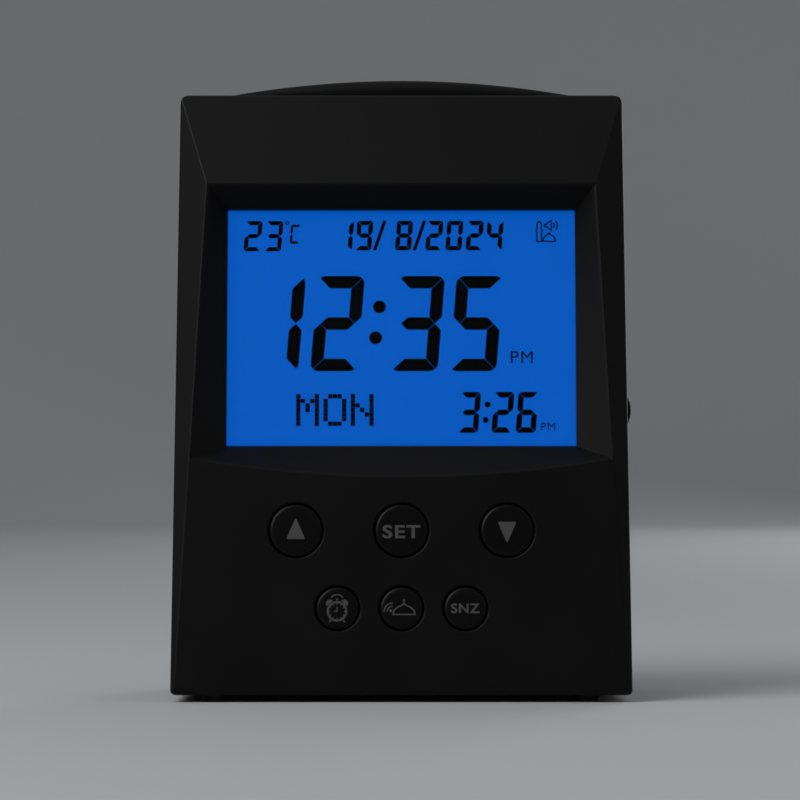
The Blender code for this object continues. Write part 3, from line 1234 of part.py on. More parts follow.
def speaker():
    def ring(name, profile, finish, closed=True):
        turned(name, profile, finish, closed=closed, steps=FINE_STEPS, parent=rear_frame,
               location=(0, 0, SPEAKER_H), rotation=OUT_OF_FACE)

    front, back, end, skin = SPEAKER_FRONT_D, SPEAKER_FLANGE_BACK_D, SPEAKER_END_D, SPEAKER_SKIN
    inner = SPEAKER_RADIUS - GASKET_WIDTH
    ring("speaker_gasket", [(inner, GASKET_END_D), (SPEAKER_RADIUS, GASKET_END_D),
                            (SPEAKER_RADIUS, WALL + GAP), (inner, WALL + GAP)], FOAM)
    ring("speaker_frame", [(SPEAKER_BORE_RADIUS, end), (SPEAKER_BACK_RADIUS, end), (inner + skin, back),
                           (SPEAKER_RADIUS, back), (SPEAKER_RADIUS, front), (inner, front), (inner, back),
                           (SPEAKER_BACK_RADIUS - skin, end - skin),
                           (SPEAKER_BORE_RADIUS, end - skin)], STEEL)
    ring("speaker_magnet", [(0, MAGNET_END_D), (MAGNET_RADIUS, MAGNET_END_D), (MAGNET_RADIUS, end + GAP),
                            (POLE_RADIUS, end + GAP), (POLE_RADIUS, end - POLE_LENGTH),
                            (0, end - POLE_LENGTH)], MAGNET_STEEL, closed=False)
    edge, cap, thick = inner - GAP, CONE_CAP_RADIUS, CONE_THICK
    deep, middle = front + CONE_DEPTH, front + CONE_DEPTH / 2
    ring("speaker_cone", [(0, middle + thick), (cap - thick, deep + thick), (cap, deep + thick),
                          (edge, front + thick), (edge, front), (cap, deep), (0, middle)],
         CONE_PAPER, closed=False)


# Battery cells, contacts and door

def battery_cells():
    nub_x = BAY_HALF - 2 * GAP - CONTACT_THICK
    base_x = nub_x - CELL_LENGTH
    body, radius, edge = CELL_LENGTH - CELL_NUB_LENGTH, CELL_RADIUS, CELL_EDGE
    cell = [(0, CELL_LENGTH), (CELL_NUB_RADIUS, CELL_LENGTH), (CELL_NUB_RADIUS, body),
            (radius - edge, body), (radius, body - edge), (radius, edge), (radius - edge, 0), (0, 0)]
    for i in range(CELL_COUNT):
        way = 1 if i % 2 == 0 else -1
        turned(f"battery_cell_{i + 1}", cell, CELL_SLEEVE, parent=rear_frame,
               location=(way * base_x, -CELL_D, cell_h(i)), rotation=(0, way * math.pi / 2, 0))


def cell_h(i):
    """Height of a cell's axis up the rear wall."""
    return BAY_MIDDLE_H + (i - (CELL_COUNT - 1) / 2) * CELL_PITCH


def battery_contact(name, side, low_cell, high_cell, spring_cell):
    """A plate at one end of the compartment that spans one cell or two, with the spring for
    the cell whose flat end faces it."""
    plate_x = side * (BAY_HALF - GAP - CONTACT_THICK)
    outer_x = side * (BAY_HALF - GAP)
    bm = bmesh.new()
    reach = CONTACT_SIZE / 2
    add_box(bm, (min(plate_x, outer_x), -CELL_D - reach, cell_h(low_cell) - reach),
            (max(plate_x, outer_x), -CELL_D + reach, cell_h(high_cell) + reach))
    plate = place(name, mesh_of(name, bm), STEEL, parent=rear_frame)
    if spring_cell is None:
        return
    nub_x = BAY_HALF - 2 * GAP - CONTACT_THICK
    tip = side * (CELL_LENGTH - nub_x + GAP + CELL_SPRING_WIRE)
    root = side * (BAY_HALF - GAP - CONTACT_THICK + CELL_SPRING_WIRE / 3)
    h = cell_h(spring_cell)
    coil = helix((root, -CELL_D, h), (tip, -CELL_D, h), CELL_SPRING_TURNS,
                 CELL_SPRING_RADIUS, CELL_SPRING_TIP)
    wire = wire_mesh(name + "_spring", coil, CELL_SPRING_WIRE, 1)
    boolean(plate, "UNION", cutter(name + "_spring", wire, rear_frame))


def battery_contacts():
    battery_contact("contact_positive", 1, 0, 0, None)
    battery_contact("contact_left_pair", -1, 0, 1, 0)
    battery_contact("contact_right_pair", 1, 1, 2, 1)
    battery_contact("contact_negative", -1, 2, 2, 2)


def battery_door():
    """Its own origin is on the line where it tips: its lower outer edge."""
    height = 2 * DOOR_RISE
    bm = bmesh.new()
    add_box(bm, (-DOOR_HALF, -DOOR_THICK, 0), (DOOR_HALF, 0, height))
    door = place("battery_door", mesh_of("battery_door", bm), CASE_PLASTIC, parent=rear_frame,
                 location=(0, 0, DOOR_FOOT))
    bm = bmesh.new()
    for side in (-1, 1):
        x = side * HOOK_X
        add_box(bm, (x - HOOK_WIDTH / 2, -DOOR_THICK, -HOOK_LENGTH),
                (x + HOOK_WIDTH / 2, -HOOK_SKIN, HOOK_LENGTH))
    boolean(door, "UNION", cutter("door_hooks", bm, door))
    bm = bmesh.new()
    top = height - GRIP_INSET
    ridge = GRIP_HEIGHT / (2 * GRIP_RIDGES + 1)
    for i in range(GRIP_RIDGES + 1):
        start = top - GRIP_HEIGHT + 2 * i * ridge
        add_box(bm, (-GRIP_WIDTH / 2, -GRIP_DEPTH, start), (GRIP_WIDTH / 2, OVERRUN, start + ridge))
    boolean(door, "DIFFERENCE", cutter("door_grip", bm, door))


# Leads, from the speaker and from the compartment to the main board

def leads():
    def lead(name, knots, finish):
        place(name, wire_curve(name, smooth_route(knots, LEAD_STEPS), LEAD_RADIUS, 2), finish)

    x = SOUND_CHIP_X + SOUND_CHIP_SIZE[0] / 2 + LEAD_MARGIN
    start_h = SPEAKER_H - SPEAKER_BACK_RADIUS
    start_d = SPEAKER_FLANGE_BACK_D + GAP
    lead("speaker_lead", [
        rear_point(x, start_d, start_h),
        rear_point(x, start_d + LEAD_MARGIN, start_h),
        face_point(x, PARTS_W + LEAD_MARGIN, SOUND_CHIP_V),
        face_point(x, PARTS_W, SOUND_CHIP_V)], LEAD_RED)
    x = -BAY_HALF / 2
    start_h = BAY_MIDDLE_H + BAY_RISE + BAY_WALL + GAP
    end_v = BOARD_FOOT + LEAD_MARGIN
    lead("battery_lead", [
        rear_point(x, CELL_D, start_h),
        rear_point(x, CELL_D, start_h + LEAD_MARGIN),
        face_point(x, PARTS_W + LEAD_MARGIN, end_v),
        face_point(x, PARTS_W, end_v)], LEAD_GREY)


front_case()
rear_case()
display_stack()
board("main_board", board_half(), BOARD_W, BOARD_FOOT, BOARD_TOP, board_boss_places(), BOARD_SCREW[0] + GAP)
board("key_board", KEY_BOARD_WIDTH / 2, KEY_BOARD_W, KEY_BOARD_FOOT, KEY_BOARD_TOP, key_boss_places(),
      STAKE_RADIUS + GAP)
board_parts()
screws("board_screw", BOARD_SCREW, board_boss_places(), PARTS_W)
screws("case_screw", CASE_SCREW, case_screw_places(), PARTING + GAP / 2 + TUBE_FLOOR + GAP)
ribbon()
keypad()
buttons()
light_bar()
light_board()
volume_wheel()
volume_pot()
feet()
speaker()
battery_cells()
battery_contacts()
battery_door()
leads()
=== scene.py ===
"""Azan desk clock, dressed for the eye.

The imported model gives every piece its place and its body. This script gives the clock its
fine surfaces, its lit display, the signs printed on its buttons, and its finishes.
Sizes are in millimetres, and a piece comes to metres when its mesh is made.
Face places are (x, w, v): across, into the case, up the leaning face. Rear places are
(x, -d, h): across, out of the rear wall, up the rear wall."""
import math

import bmesh
import bpy
from mathutils import Matrix, Vector


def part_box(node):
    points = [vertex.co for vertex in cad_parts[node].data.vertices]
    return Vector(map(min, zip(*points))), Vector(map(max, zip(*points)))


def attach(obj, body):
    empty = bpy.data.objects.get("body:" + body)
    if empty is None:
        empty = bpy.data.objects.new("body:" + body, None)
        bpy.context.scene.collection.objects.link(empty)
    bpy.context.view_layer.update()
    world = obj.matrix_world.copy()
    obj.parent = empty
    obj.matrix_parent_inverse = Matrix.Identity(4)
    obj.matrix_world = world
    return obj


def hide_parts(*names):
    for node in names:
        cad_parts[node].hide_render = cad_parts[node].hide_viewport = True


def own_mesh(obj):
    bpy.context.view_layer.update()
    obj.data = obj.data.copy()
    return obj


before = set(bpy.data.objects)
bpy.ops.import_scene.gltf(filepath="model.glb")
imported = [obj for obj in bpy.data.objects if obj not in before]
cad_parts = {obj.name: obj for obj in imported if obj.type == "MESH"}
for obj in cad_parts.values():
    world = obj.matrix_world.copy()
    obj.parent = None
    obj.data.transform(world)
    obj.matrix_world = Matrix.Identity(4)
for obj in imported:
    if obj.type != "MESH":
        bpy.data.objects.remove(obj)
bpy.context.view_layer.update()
scene = bpy.context.scene

MM = 0.001

# The picture: a camera at the photograph's height, level with the display's lower half, and
# the photograph's distance, which the narrowing of the case's sides gives.
CAMERA_PLACE = Vector((-0.4, -1182, 86.25)) * MM
CAMERA_LENS = 181.7
FILM_WIDTH = 36
camera_data = bpy.data.cameras.new("camera")
camera_data.lens = CAMERA_LENS
camera_data.sensor_width = FILM_WIDTH
camera = bpy.data.objects.new("camera", camera_data)
camera.location = CAMERA_PLACE
camera.rotation_euler = (math.pi / 2, 0, 0)
scene.collection.objects.link(camera)
scene.camera = camera
scene.view_settings.view_transform = "Standard"

# The room: a round pale floor that curves up into its own backdrop, the same from every
# side, under a dim even sky. It is painted board, with a faint unevenness.
ROOM_RADIUS = 2300
ROOM_CURVE = 700
ROOM_HEIGHT = 2600
ROOM_STEPS = 128
ROOM_CURVE_STEPS = 24
SKY_STRENGTH = 0.4


def feed(tree, node, inputs):
    """Gives a node's inputs their values, or joins them to other nodes' outputs."""
    for key, value in inputs.items():
        if isinstance(value, bpy.types.NodeSocket):
            tree.links.new(value, node.inputs[key])
        else:
            node.inputs[key].default_value = value


def wire(tree, kind, output, inputs=None, **settings):
    """An output of a new shader node that has these inputs and settings."""
    node = tree.nodes.new("ShaderNode" + kind)
    for key, value in settings.items():
        setattr(node, key, value)
    feed(tree, node, inputs or {})
    return node.outputs[output]


def new_finish(name):
    """A node material, its tree and its shader."""
    made = bpy.data.materials.new(name)
    made.use_nodes = True
    return made, made.node_tree, made.node_tree.nodes["Principled BSDF"]


def millimetres(tree):
    """Places on the piece, in millimetres, which move with the piece."""
    return wire(tree, "VectorMath", "Vector", {"Vector": wire(tree, "TexCoord", "Object"), "Scale": 1 / MM},
                operation="SCALE")


def blended(tree, share, *tones):
    """A colour between two, by a share that a node gives."""
    one, other = (tone if isinstance(tone, bpy.types.NodeSocket) else (*tone, 1) for tone in tones)
    return wire(tree, "MixRGB", "Color", {"Fac": share, "Color1": one, "Color2": other})


def ranged(tree, value, start, end, low, high, kind="LINEAR"):
    """A value moved from one range to another, and held within it."""
    return wire(tree, "MapRange", "Result", {"Value": value, "From Min": start, "From Max": end,
                                             "To Min": low, "To Max": high}, interpolation_type=kind)


def noise(tree, spot, scale, detail=3.0, roughness=0.5):
    return wire(tree, "TexNoise", "Fac", {"Vector": spot, "Scale": scale, "Detail": detail,
                                          "Roughness": roughness})


def lathed(profile, steps=96, closed=False):
    """A bmesh turned about Z from a profile of (radius, height)."""
    bm = bmesh.new()
    rings = []
    for radius, height in profile:
        turns = [math.tau * i / steps for i in range(steps if radius else 1)]
        rings.append([bm.verts.new((radius * math.cos(turn), radius * math.sin(turn), height))
                      for turn in turns])
    for ring, following in zip(rings, rings[1:] + rings[:1] if closed else rings[1:]):
        for i in range(steps):
            j = (i + 1) % steps
            corners = (ring[i % len(ring)], ring[j % len(ring)],
                       following[j % len(following)], following[i % len(following)])
            around = list(dict.fromkeys(corners))
            if len(around) > 2:
                bm.faces.new(around)
    return bm


def piece_of(name, bm, finish):
    """A new piece at the world's origin, its faces turned out, in metres."""
    bmesh.ops.recalc_face_normals(bm, faces=bm.faces[:])
    bm.transform(Matrix.Scale(MM, 4))
    mesh = bpy.data.meshes.new(name)
    bm.to_mesh(mesh)
    bm.free()
    mesh.materials.append(finish)
    piece = bpy.data.objects.new(name, mesh)
    scene.collection.objects.link(piece)
    return piece


room_paint, tree, shader = new_finish("room_paint")
uneven = noise(tree, millimetres(tree), 0.004)
feed(tree, shader, {"Base Color": blended(tree, uneven, (0.44, 0.445, 0.45), (0.47, 0.47, 0.475)),
                    "Roughness": 0.7, "Specular IOR Level": 0.2})
profile = [(0, 0)]
for i in range(ROOM_CURVE_STEPS + 1):
    bend = math.pi / 2 * i / ROOM_CURVE_STEPS
    profile.append((ROOM_RADIUS - ROOM_CURVE * (1 - math.sin(bend)), ROOM_CURVE * (1 - math.cos(bend))))
profile.append((ROOM_RADIUS, ROOM_HEIGHT))
room = piece_of("room", lathed(profile, ROOM_STEPS), room_paint)
room.data.shade_smooth()

sky = bpy.data.worlds.new("sky")
sky.use_nodes = True
feed(sky.node_tree, sky.node_tree.nodes["Background"],
     {"Color": (0.95, 0.97, 1, 1), "Strength": SKY_STRENGTH})
scene.world = sky

# Lamps: a wide soft one at the upper left in front, a weak one at the right, and a low one
# behind, for the rear wall. Each is a cloth-covered square box. Their sizes are in metres.
LAMPS = [
    # name, place, width, power
    ("key", (-0.75, -0.5, 0.85), 0.8, 9.5),
    ("fill", (1.3, -0.5, 0.8), 0.9, 1.2),
    ("back", (0.8, 1.3, 0.45), 0.8, 6),
]
LAMP_AIM = Vector((0, 0, 0.09))
for name, place, width, power in LAMPS:
    lamp_data = bpy.data.lights.new(name, "AREA")
    lamp_data.size = width
    lamp_data.energy = power
    lamp = bpy.data.objects.new(name, lamp_data)
    lamp.location = place
    lamp.visible_camera = False
    lamp.rotation_euler = (LAMP_AIM - Vector(place)).to_track_quat("-Z", "Y").to_euler()
    scene.collection.objects.link(lamp)


# Front case: the moulded shell with the leaning panel, the band over the display, the side
# bevels and the funnel round the display. It is black plastic with a fine satin grain, and
# its posts, ribs and melted pins carry the boards inside.
def packed_box(node):
    """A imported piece's lowest and highest corners."""
    return [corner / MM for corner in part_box(node)]


GAP = 0.3                         # between pieces that touch or slide on each other
OVERRUN = 2                       # how far a cutter runs past the face that it opens
MERGE = 0.01                      # corners nearer than this are one
WALL = 2.2
LEAN = math.radians(10)
FEET_HEIGHT = 2
CASE_WIDTH = 132
FACE_WIDTH = 130
FACE_HEIGHT = 149.7
RIDGE_TOP_WIDTH = 113.6
TOP_WIDTH = 130
REAR_WIDTH = 130
BAND_RISE = 26.6
BAND_SETBACK = 13.2
REAR_SETBACK = 3.5
CASE_HEIGHT = FACE_HEIGHT * math.cos(LEAN) + BAND_RISE
CASE_TOP = FEET_HEIGHT + CASE_HEIGHT
TOP_SETBACK = FACE_HEIGHT * math.sin(LEAN) + BAND_SETBACK
REAR_TILT = math.atan(REAR_SETBACK / CASE_HEIGHT)
HALF_DEPTH = packed_box("rear_case")[1].y
CASE_DEPTH = 2 * HALF_DEPTH
AS_IT_IS = Matrix.Identity(4)
FACE = Matrix.Translation((0, -HALF_DEPTH, FEET_HEIGHT)) @ Matrix.Rotation(-LEAN, 4, "X")
REAR = Matrix.Translation((0, HALF_DEPTH, FEET_HEIGHT)) @ Matrix.Rotation(REAR_TILT, 4, "X")
OUT_OF_FACE = Matrix.Rotation(math.pi / 2, 4, "X")      # turns a piece's +Z out of the face
INTO_CASE = Matrix.Rotation(-math.pi / 2, 4, "X")

ROUNDINGS = {                     # of the edge between two sides of the case
    ("bottom", "face"): 2.2, ("bevel", "bottom"): 2.2, ("bottom", "side"): 1.5, ("bottom", "rear"): 2.2,
    ("bevel", "side"): 0.6, ("band", "top"): 1.2, ("side", "top"): 2.5, ("rear", "top"): 4,
    ("rear", "side"): 4, ("bevel", "face"): 0.3, ("band", "face"): 0.3, ("band", "bevel"): 0.2,
}
ROUND_STEPS = 7
SMOOTH_ANGLE = math.radians(32)

WINDOW_HALF = 50.8
WINDOW_FOOT = 73.2
WINDOW_TOP = 143.4
RECESS_DEPTH = 7
RECESS_LAND = 0.4
RECESS_CORNER = 68.5
RECESS_SAG = 5.3
RECESS_LIP = 0.25                 # how far its softened lip spreads
RECESS_LIP_DEPTH = 0.9
LIP_STEPS = 5
SAG_STEPS = 56
RISE_STEPS = 14
BOWL_BACK_W = 8
BOWL_HALF = 56.9                  # outside of the recess's walls at their back
BOWL_FOOT = 66.4
BOWL_TOP = 150.2
PARTING = 23                      # depth of the joint between the two shells

BUTTONS = [
    # key, x, v, radius
    ("up", -30.3, 47.6, 7.6),
    ("set", 0, 47.6, 7.6),
    ("down", 30.3, 47.6, 7.6),
    ("alarm", -18.3, 25.1, 6.15),
    ("call", 0, 25.1, 6.15),
    ("snooze", 18.3, 25.1, 6.15),
]
HOLE_ROUND = 0.7                  # softened rim of a button's hole

BOARD_W = 16.2
KEY_BOARD_W = 7.7
BOARD_THICK = 1.6
BOARD_POSTS = [(x, v) for x in (-59.72, 59.72) for v in (71, 143)]
KEY_POSTS = [(x, v) for x in (-44.4, 44.4) for v in (16, 56)]
CASE_SCREWS = [(-57.56, 20), (57.56, 20), (-56.86, 162), (56.86, 162)]
BOARD_POST_RADIUS = 2.9
BOARD_PILOT_RADIUS = 1.4
BOARD_PILOT_DEPTH = 7
KEY_POST_RADIUS = 2.4
CASE_POST_RADIUS = 3.4
CASE_PILOT_RADIUS = 1.75
CASE_PILOT_DEPTH = 12.5
STAKE_RADIUS = 1.4
STAKE_HEAD_RADIUS = 2.2
STAKE_HEAD = 1
STAKE_STEPS = 24
WHEEL_V = 86
WHEEL_W = 19.4
WHEEL_RADIUS = 9
WHEEL_X = packed_box("volume_wheel")[1].x - WHEEL_RADIUS
WHEEL_SLOT_HALF = 8.4
BAR_HALF = 51.6
BAR_DEPTH = 11
BAR_Y = sum(corner.y for corner in packed_box("light_bar")) / 2
LIGHT_BOARD_TOP = packed_box("light_board")[1].z
LIGHT_RIBS = (-24, 24)            # their places across
RIB_WIDTH = 5.6
RIB_LENGTH = 20
RIB_HEIGHT = 7
LIGHT_PIN_Y = 11.55
FEET = {name: sum(packed_box(name), Vector()) / 2
        for name in ("foot_front_left", "foot_front_right", "foot_rear_left", "foot_rear_right")}
FOOT_SEAT_RADIUS = 4.1
FOOT_SEAT = 0.9
CLOUD_SCALE = 0.03


def relief(tree, height, distance, strength=0.6, **more):
    """A surface's normal where a height of 1 stands out by a distance."""
    return wire(tree, "Bump", "Normal", {"Strength": strength, "Distance": distance * MM, "Height": height,
                                         **more})


def times(tree, one, other):
    return wire(tree, "Math", "Value", {0: one, 1: other}, operation="MULTIPLY")


def moulded(name, dark, light, roughness, grain, depth, metallic=0.0, rubbed=None, specular=0.5, soften=0.2):
    """A moulded or pressed finish. Its colour drifts between two tones in soft clouds, its
    roughness between two values, and a fine grain of so many bumps to the millimetre stands
    out by a depth. Sharp edges look softened, and rubbed to another tone if one is given."""
    made, tree, shader = new_finish(name)
    spot = millimetres(tree)
    cloud = noise(tree, spot, CLOUD_SCALE, 5.0, 0.6)
    tone = blended(tree, cloud, dark, light)
    soft_normal = wire(tree, "Bevel", "Normal", {"Radius": soften * MM}, samples=4)
    if rubbed:
        level = wire(tree, "VectorMath", "Value", {0: soft_normal, 1: wire(tree, "NewGeometry", "Normal")},
                     operation="DOT_PRODUCT")
        patchy = ranged(tree, noise(tree, spot, 0.4), 0.35, 0.75, 0.15, 0.8)
        tone = blended(tree, times(tree, ranged(tree, level, 0.99, 0.8, 0, 1), patchy), tone, rubbed)
    feed(tree, shader, {
        "Base Color": tone, "Roughness": ranged(tree, cloud, 0.3, 0.7, *roughness), "Metallic": metallic,
        "Normal": relief(tree, noise(tree, spot, grain, 2.0), depth, 1.0, Normal=soft_normal),
        "Specular IOR Level": specular})
    return made


CASE_PLASTIC = moulded("case_plastic", (0.0021, 0.0021, 0.0022), (0.0031, 0.0031, 0.0033), (0.42, 0.52), 3.2,
                       0.008, rubbed=(0.0055, 0.0055, 0.006), specular=0.14)


def settle(piece):
    """Works a piece's modifiers into its mesh."""
    graph = bpy.context.evaluated_depsgraph_get()
    shaped = bpy.data.meshes.new_from_object(piece.evaluated_get(graph), depsgraph=graph)
    old = piece.data
    piece.modifiers.clear()
    piece.data = shaped
    bpy.data.meshes.remove(old)


def cut(piece, tool, operation="DIFFERENCE"):
    """One Boolean step with a bmesh or a piece, which it uses up."""
    if isinstance(tool, bmesh.types.BMesh):
        tool = piece_of("tool", tool, piece.data.materials[0])
    step = piece.modifiers.new("step", "BOOLEAN")
    step.operation = operation
    step.object = tool
    step.solver = "MANIFOLD"
    settle(piece)
    mesh = tool.data
    bpy.data.objects.remove(tool)
    bpy.data.meshes.remove(mesh)


def dress(piece, body, *nodes):
    """Smooths a finished piece, and lets it ride on its body and stand for its nodes."""
    piece.data.shade_smooth()
    piece.data.set_sharp_from_angle(angle=SMOOTH_ANGLE)
    weighted = piece.modifiers.new("even_shading", "WEIGHTED_NORMAL")
    weighted.keep_sharp = True
    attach(piece, body)
    if nodes:
        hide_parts(*nodes)


def joined(bm, other, matrix=AS_IT_IS):
    """Adds one bmesh to another, moved by a matrix, and frees it."""
    other.transform(matrix)
    passing = bpy.data.meshes.new("passing")
    other.to_mesh(passing)
    other.free()
    bm.from_mesh(passing)
    bpy.data.meshes.remove(passing)


def boxes(corners, matrix=AS_IT_IS):
    """A bmesh of boxes, each from its lowest corner to its highest."""
    bm = bmesh.new()
    for low, high in corners:
        low, high = Vector(low), Vector(high)
        bmesh.ops.create_cube(bm, size=1, matrix=matrix @ Matrix.Translation((low + high) / 2)
                              @ Matrix.Diagonal((*(high - low), 1)))
    return bm


def rods(lines, matrix=AS_IT_IS, steps=32):
    """A bmesh of round rods, each with its start, end and radius."""
    bm = bmesh.new()
    for start, end, radius in lines:
        start, end = Vector(start), Vector(end)
        turn = (end - start).to_track_quat("Z", "Y").to_matrix().to_4x4()
        bmesh.ops.create_cone(bm, cap_ends=True, segments=steps, radius1=radius, radius2=radius,
                              depth=(end - start).length,
                              matrix=matrix @ Matrix.Translation((start + end) / 2) @ turn)
    return bm


def add_loft(bm, sections, matrix=AS_IT_IS, closed=False):
    """A solid through rings of as many points each, capped, or running round into itself."""
    rings = [[bm.verts.new(matrix @ Vector(point)) for point in section] for section in sections]
    for ring, following in zip(rings, rings[1:] + rings[:1] if closed else rings[1:]):
        for i in range(len(ring)):
            j = (i + 1) % len(ring)
            bm.faces.new((ring[i], ring[j], following[j], following[i]))
    if not closed:
        bm.faces.new(rings[0])
        bm.faces.new(rings[-1])


def lofted(sections, matrix=AS_IT_IS, closed=False):
    bm = bmesh.new()
    add_loft(bm, sections, matrix, closed)
    return bm


def plane_through(a, b, c):
    """The plane through three corners, as a point and a normal that points out of the case."""
    middle = Vector((0, 0, FEET_HEIGHT + CASE_HEIGHT / 2))
    normal = (b - a).cross(c - a).normalized()
    if normal.dot(middle - a) > 0:
        normal.negate()
    return a, normal


def case_planes():
    """The named planes of the case's outer form."""
    planes = []
    for sign in (-1, 1):
        ridge_foot = FACE @ Vector((sign * FACE_WIDTH / 2, 0, 0))
        ridge_top = FACE @ Vector((sign * RIDGE_TOP_WIDTH / 2, 0, FACE_HEIGHT))
        top_front = Vector((sign * TOP_WIDTH / 2, TOP_SETBACK - HALF_DEPTH, CASE_TOP))
        side_foot = Vector((sign * CASE_WIDTH / 2, -HALF_DEPTH, FEET_HEIGHT))
        rear_foot = Vector((sign * REAR_WIDTH / 2, HALF_DEPTH, FEET_HEIGHT))
        planes.append(("bevel", *plane_through(ridge_foot, ridge_top, top_front)))
        planes.append(("side", *plane_through(side_foot, top_front, rear_foot)))
    across = Vector((CASE_WIDTH, 0, 0))
    planes.append(("face", *plane_through(ridge_foot, ridge_foot - across, ridge_top)))
    planes.append(("band", *plane_through(ridge_top, ridge_top - across, top_front)))
    planes.append(("rear", rear_foot, Vector((0, math.cos(REAR_TILT), math.sin(REAR_TILT)))))
    planes.append(("bottom", rear_foot, Vector((0, 0, -1))))
    planes.append(("top", top_front, Vector((0, 0, 1))))
    return planes


def planed_block(inset):
    """The case's outer form, or its hollow where the planes move in by a wall."""
    bm = bmesh.new()
    bmesh.ops.create_cube(bm, size=2 * (CASE_WIDTH + CASE_DEPTH + CASE_HEIGHT))
    for _, corner, normal in case_planes():
        cut_parts = bmesh.ops.bisect_plane(
            bm, geom=bm.verts[:] + bm.edges[:] + bm.faces[:],
            plane_co=corner - normal * inset, plane_no=normal, clear_outer=True)["geom_cut"]
        rim = [part for part in cut_parts if isinstance(part, bmesh.types.BMEdge)]
        bmesh.ops.edgeloop_fill(bm, edges=rim)
    bmesh.ops.remove_doubles(bm, verts=bm.verts[:], dist=MERGE)
    return bm


def case_block(name):
    """The case's outer form with all its edges rounded."""
    bm = planed_block(0)
    bmesh.ops.recalc_face_normals(bm, faces=bm.faces[:])
    widest = max(ROUNDINGS.values())
    weights = bm.edges.layers.float.new("bevel_weight_edge")
    planes = case_planes()
    for edge in bm.edges:
        names = [max(planes, key=lambda plane: plane[2].dot(face.normal))[0] for face in edge.link_faces]
        edge[weights] = ROUNDINGS.get(tuple(sorted(names)), 0) / widest
    block = piece_of(name, bm, CASE_PLASTIC)
    rounding = block.modifiers.new("rounding", "BEVEL")
    rounding.limit_method = "WEIGHT"
    rounding.width = widest * MM
    rounding.segments = ROUND_STEPS
    settle(block)
    return block


def ridge_at(v):
    """Half the width of the face at a height up the face."""
    return (FACE_WIDTH + (RIDGE_TOP_WIDTH - FACE_WIDTH) * v / FACE_HEIGHT) / 2


def four_sides(foot_points, half_top, top):
    """A ring of points: along the foot, up one side, along the top and down the other."""
    half_foot, foot = foot_points[-1]
    up = [(half_foot + (half_top - half_foot) * i / RISE_STEPS, foot + (top - foot) * i / RISE_STEPS)
          for i in range(1, RISE_STEPS + 1)]
    along = [(half_top * (1 - 2 * i / RISE_STEPS), top) for i in range(1, RISE_STEPS + 1)]
    return list(foot_points) + up + along + [(-x, v) for x, v in reversed(up[:-1])]


def mouth_ring(margin):
    """The recess's mouth on the face, with its sagging lower edge, grown by a margin."""
    half = ridge_at(RECESS_CORNER) - RECESS_LAND
    radius = (half ** 2 + RECESS_SAG ** 2) / (2 * RECESS_SAG)
    reach = math.asin(half / radius)
    foot_points = []
    for i in range(SAG_STEPS + 1):
        angle = reach * (2 * i / SAG_STEPS - 1)
        drop = radius * (math.cos(angle) - math.cos(reach))
        foot_points.append(((radius + margin) * math.sin(angle), RECESS_CORNER - drop - margin))
    top = FACE_HEIGHT - RECESS_LAND
    return four_sides(foot_points, ridge_at(top) - RECESS_LAND + margin, top + margin)


def frame_ring(half, foot, top):
    """A rectangle with as many points as the mouth."""
    return four_sides([(half * (2 * i / SAG_STEPS - 1), foot) for i in range(SAG_STEPS + 1)], half, top)


def funnel():
    """The recess and the window's opening, with a softened lip, as a cutter."""
    opening = frame_ring(WINDOW_HALF, WINDOW_FOOT, WINDOW_TOP)
    depths = [-OVERRUN, -RECESS_LIP_DEPTH / LIP_STEPS]
    depths += [RECESS_LIP_DEPTH * (i + 0.5) / LIP_STEPS for i in range(LIP_STEPS)]
    depths += [RECESS_DEPTH * share for share in (0.3, 0.5, 0.75, 1)]
    sections = []
    for w in depths:
        margin = RECESS_LIP * max(0, 1 - w / RECESS_LIP_DEPTH) ** 2
        share = w / RECESS_DEPTH
        sections.append([(mx + (ox - mx) * share, w, mv + (ov - mv) * share)
                         for (mx, mv), (ox, ov) in zip(mouth_ring(margin), opening)])
    sections.append([(x, BOWL_BACK_W + OVERRUN, v) for x, v in opening])
    return lofted(sections, FACE)


def flared_holes(holes, flare, turns=96, steps=6):
    """A cutter of round holes (radius, matrix) through a wall, with softened rims."""
    bm = bmesh.new()
    depth = WALL + OVERRUN / 2
    for radius, matrix in holes:
        profile = [(0, OVERRUN), (radius + flare, OVERRUN)]
        for i in range(steps + 1):
            bend = math.pi / 2 * i / steps
            profile.append((radius + flare - flare * math.sin(bend), MERGE - flare * (1 - math.cos(bend))))
        joined(bm, lathed(profile + [(radius, -depth), (0, -depth)], turns), matrix)
    return bm


def at_face(x, w, v, turn=OUT_OF_FACE):
    """Where a piece built about Z stands on the face."""
    return FACE @ Matrix.Translation((x, w, v)) @ turn


def posts(spots, start_w, end_w, radius):
    """Rods straight into the case, one at each spot of the face."""
    return [((x, start_w, v), (x, end_w, v), radius) for x, v in spots]


def leave_stakes(hollow, lines, matrix=AS_IT_IS):
    """Leaves pins with melted heads standing in a shell's hollow."""
    pins, heads = [], []
    for foot, end, radius in lines:
        head = (Vector(end) - Vector(foot)).normalized() * STAKE_HEAD
        pins.append((foot, Vector(end) - head / 2, radius))
        heads.append((Vector(end) - head, end, STAKE_HEAD_RADIUS))
    cut(hollow, rods(pins, matrix, STAKE_STEPS))
    cut(hollow, rods(heads, matrix, STAKE_STEPS))


def half_space(low, high):
    """The case's room between two depths behind the face."""
    reach = CASE_WIDTH + CASE_HEIGHT
    return boxes([((-reach, low, -reach), (reach, high, reach))], FACE)


def bar_box(margin, foot, top):
    """A box round the light bar's outline, grown by a margin."""
    half, deep = BAR_HALF + margin, BAR_DEPTH / 2 + margin
    return boxes([((-half, BAR_Y - deep, foot), (half, BAR_Y + deep, top))])


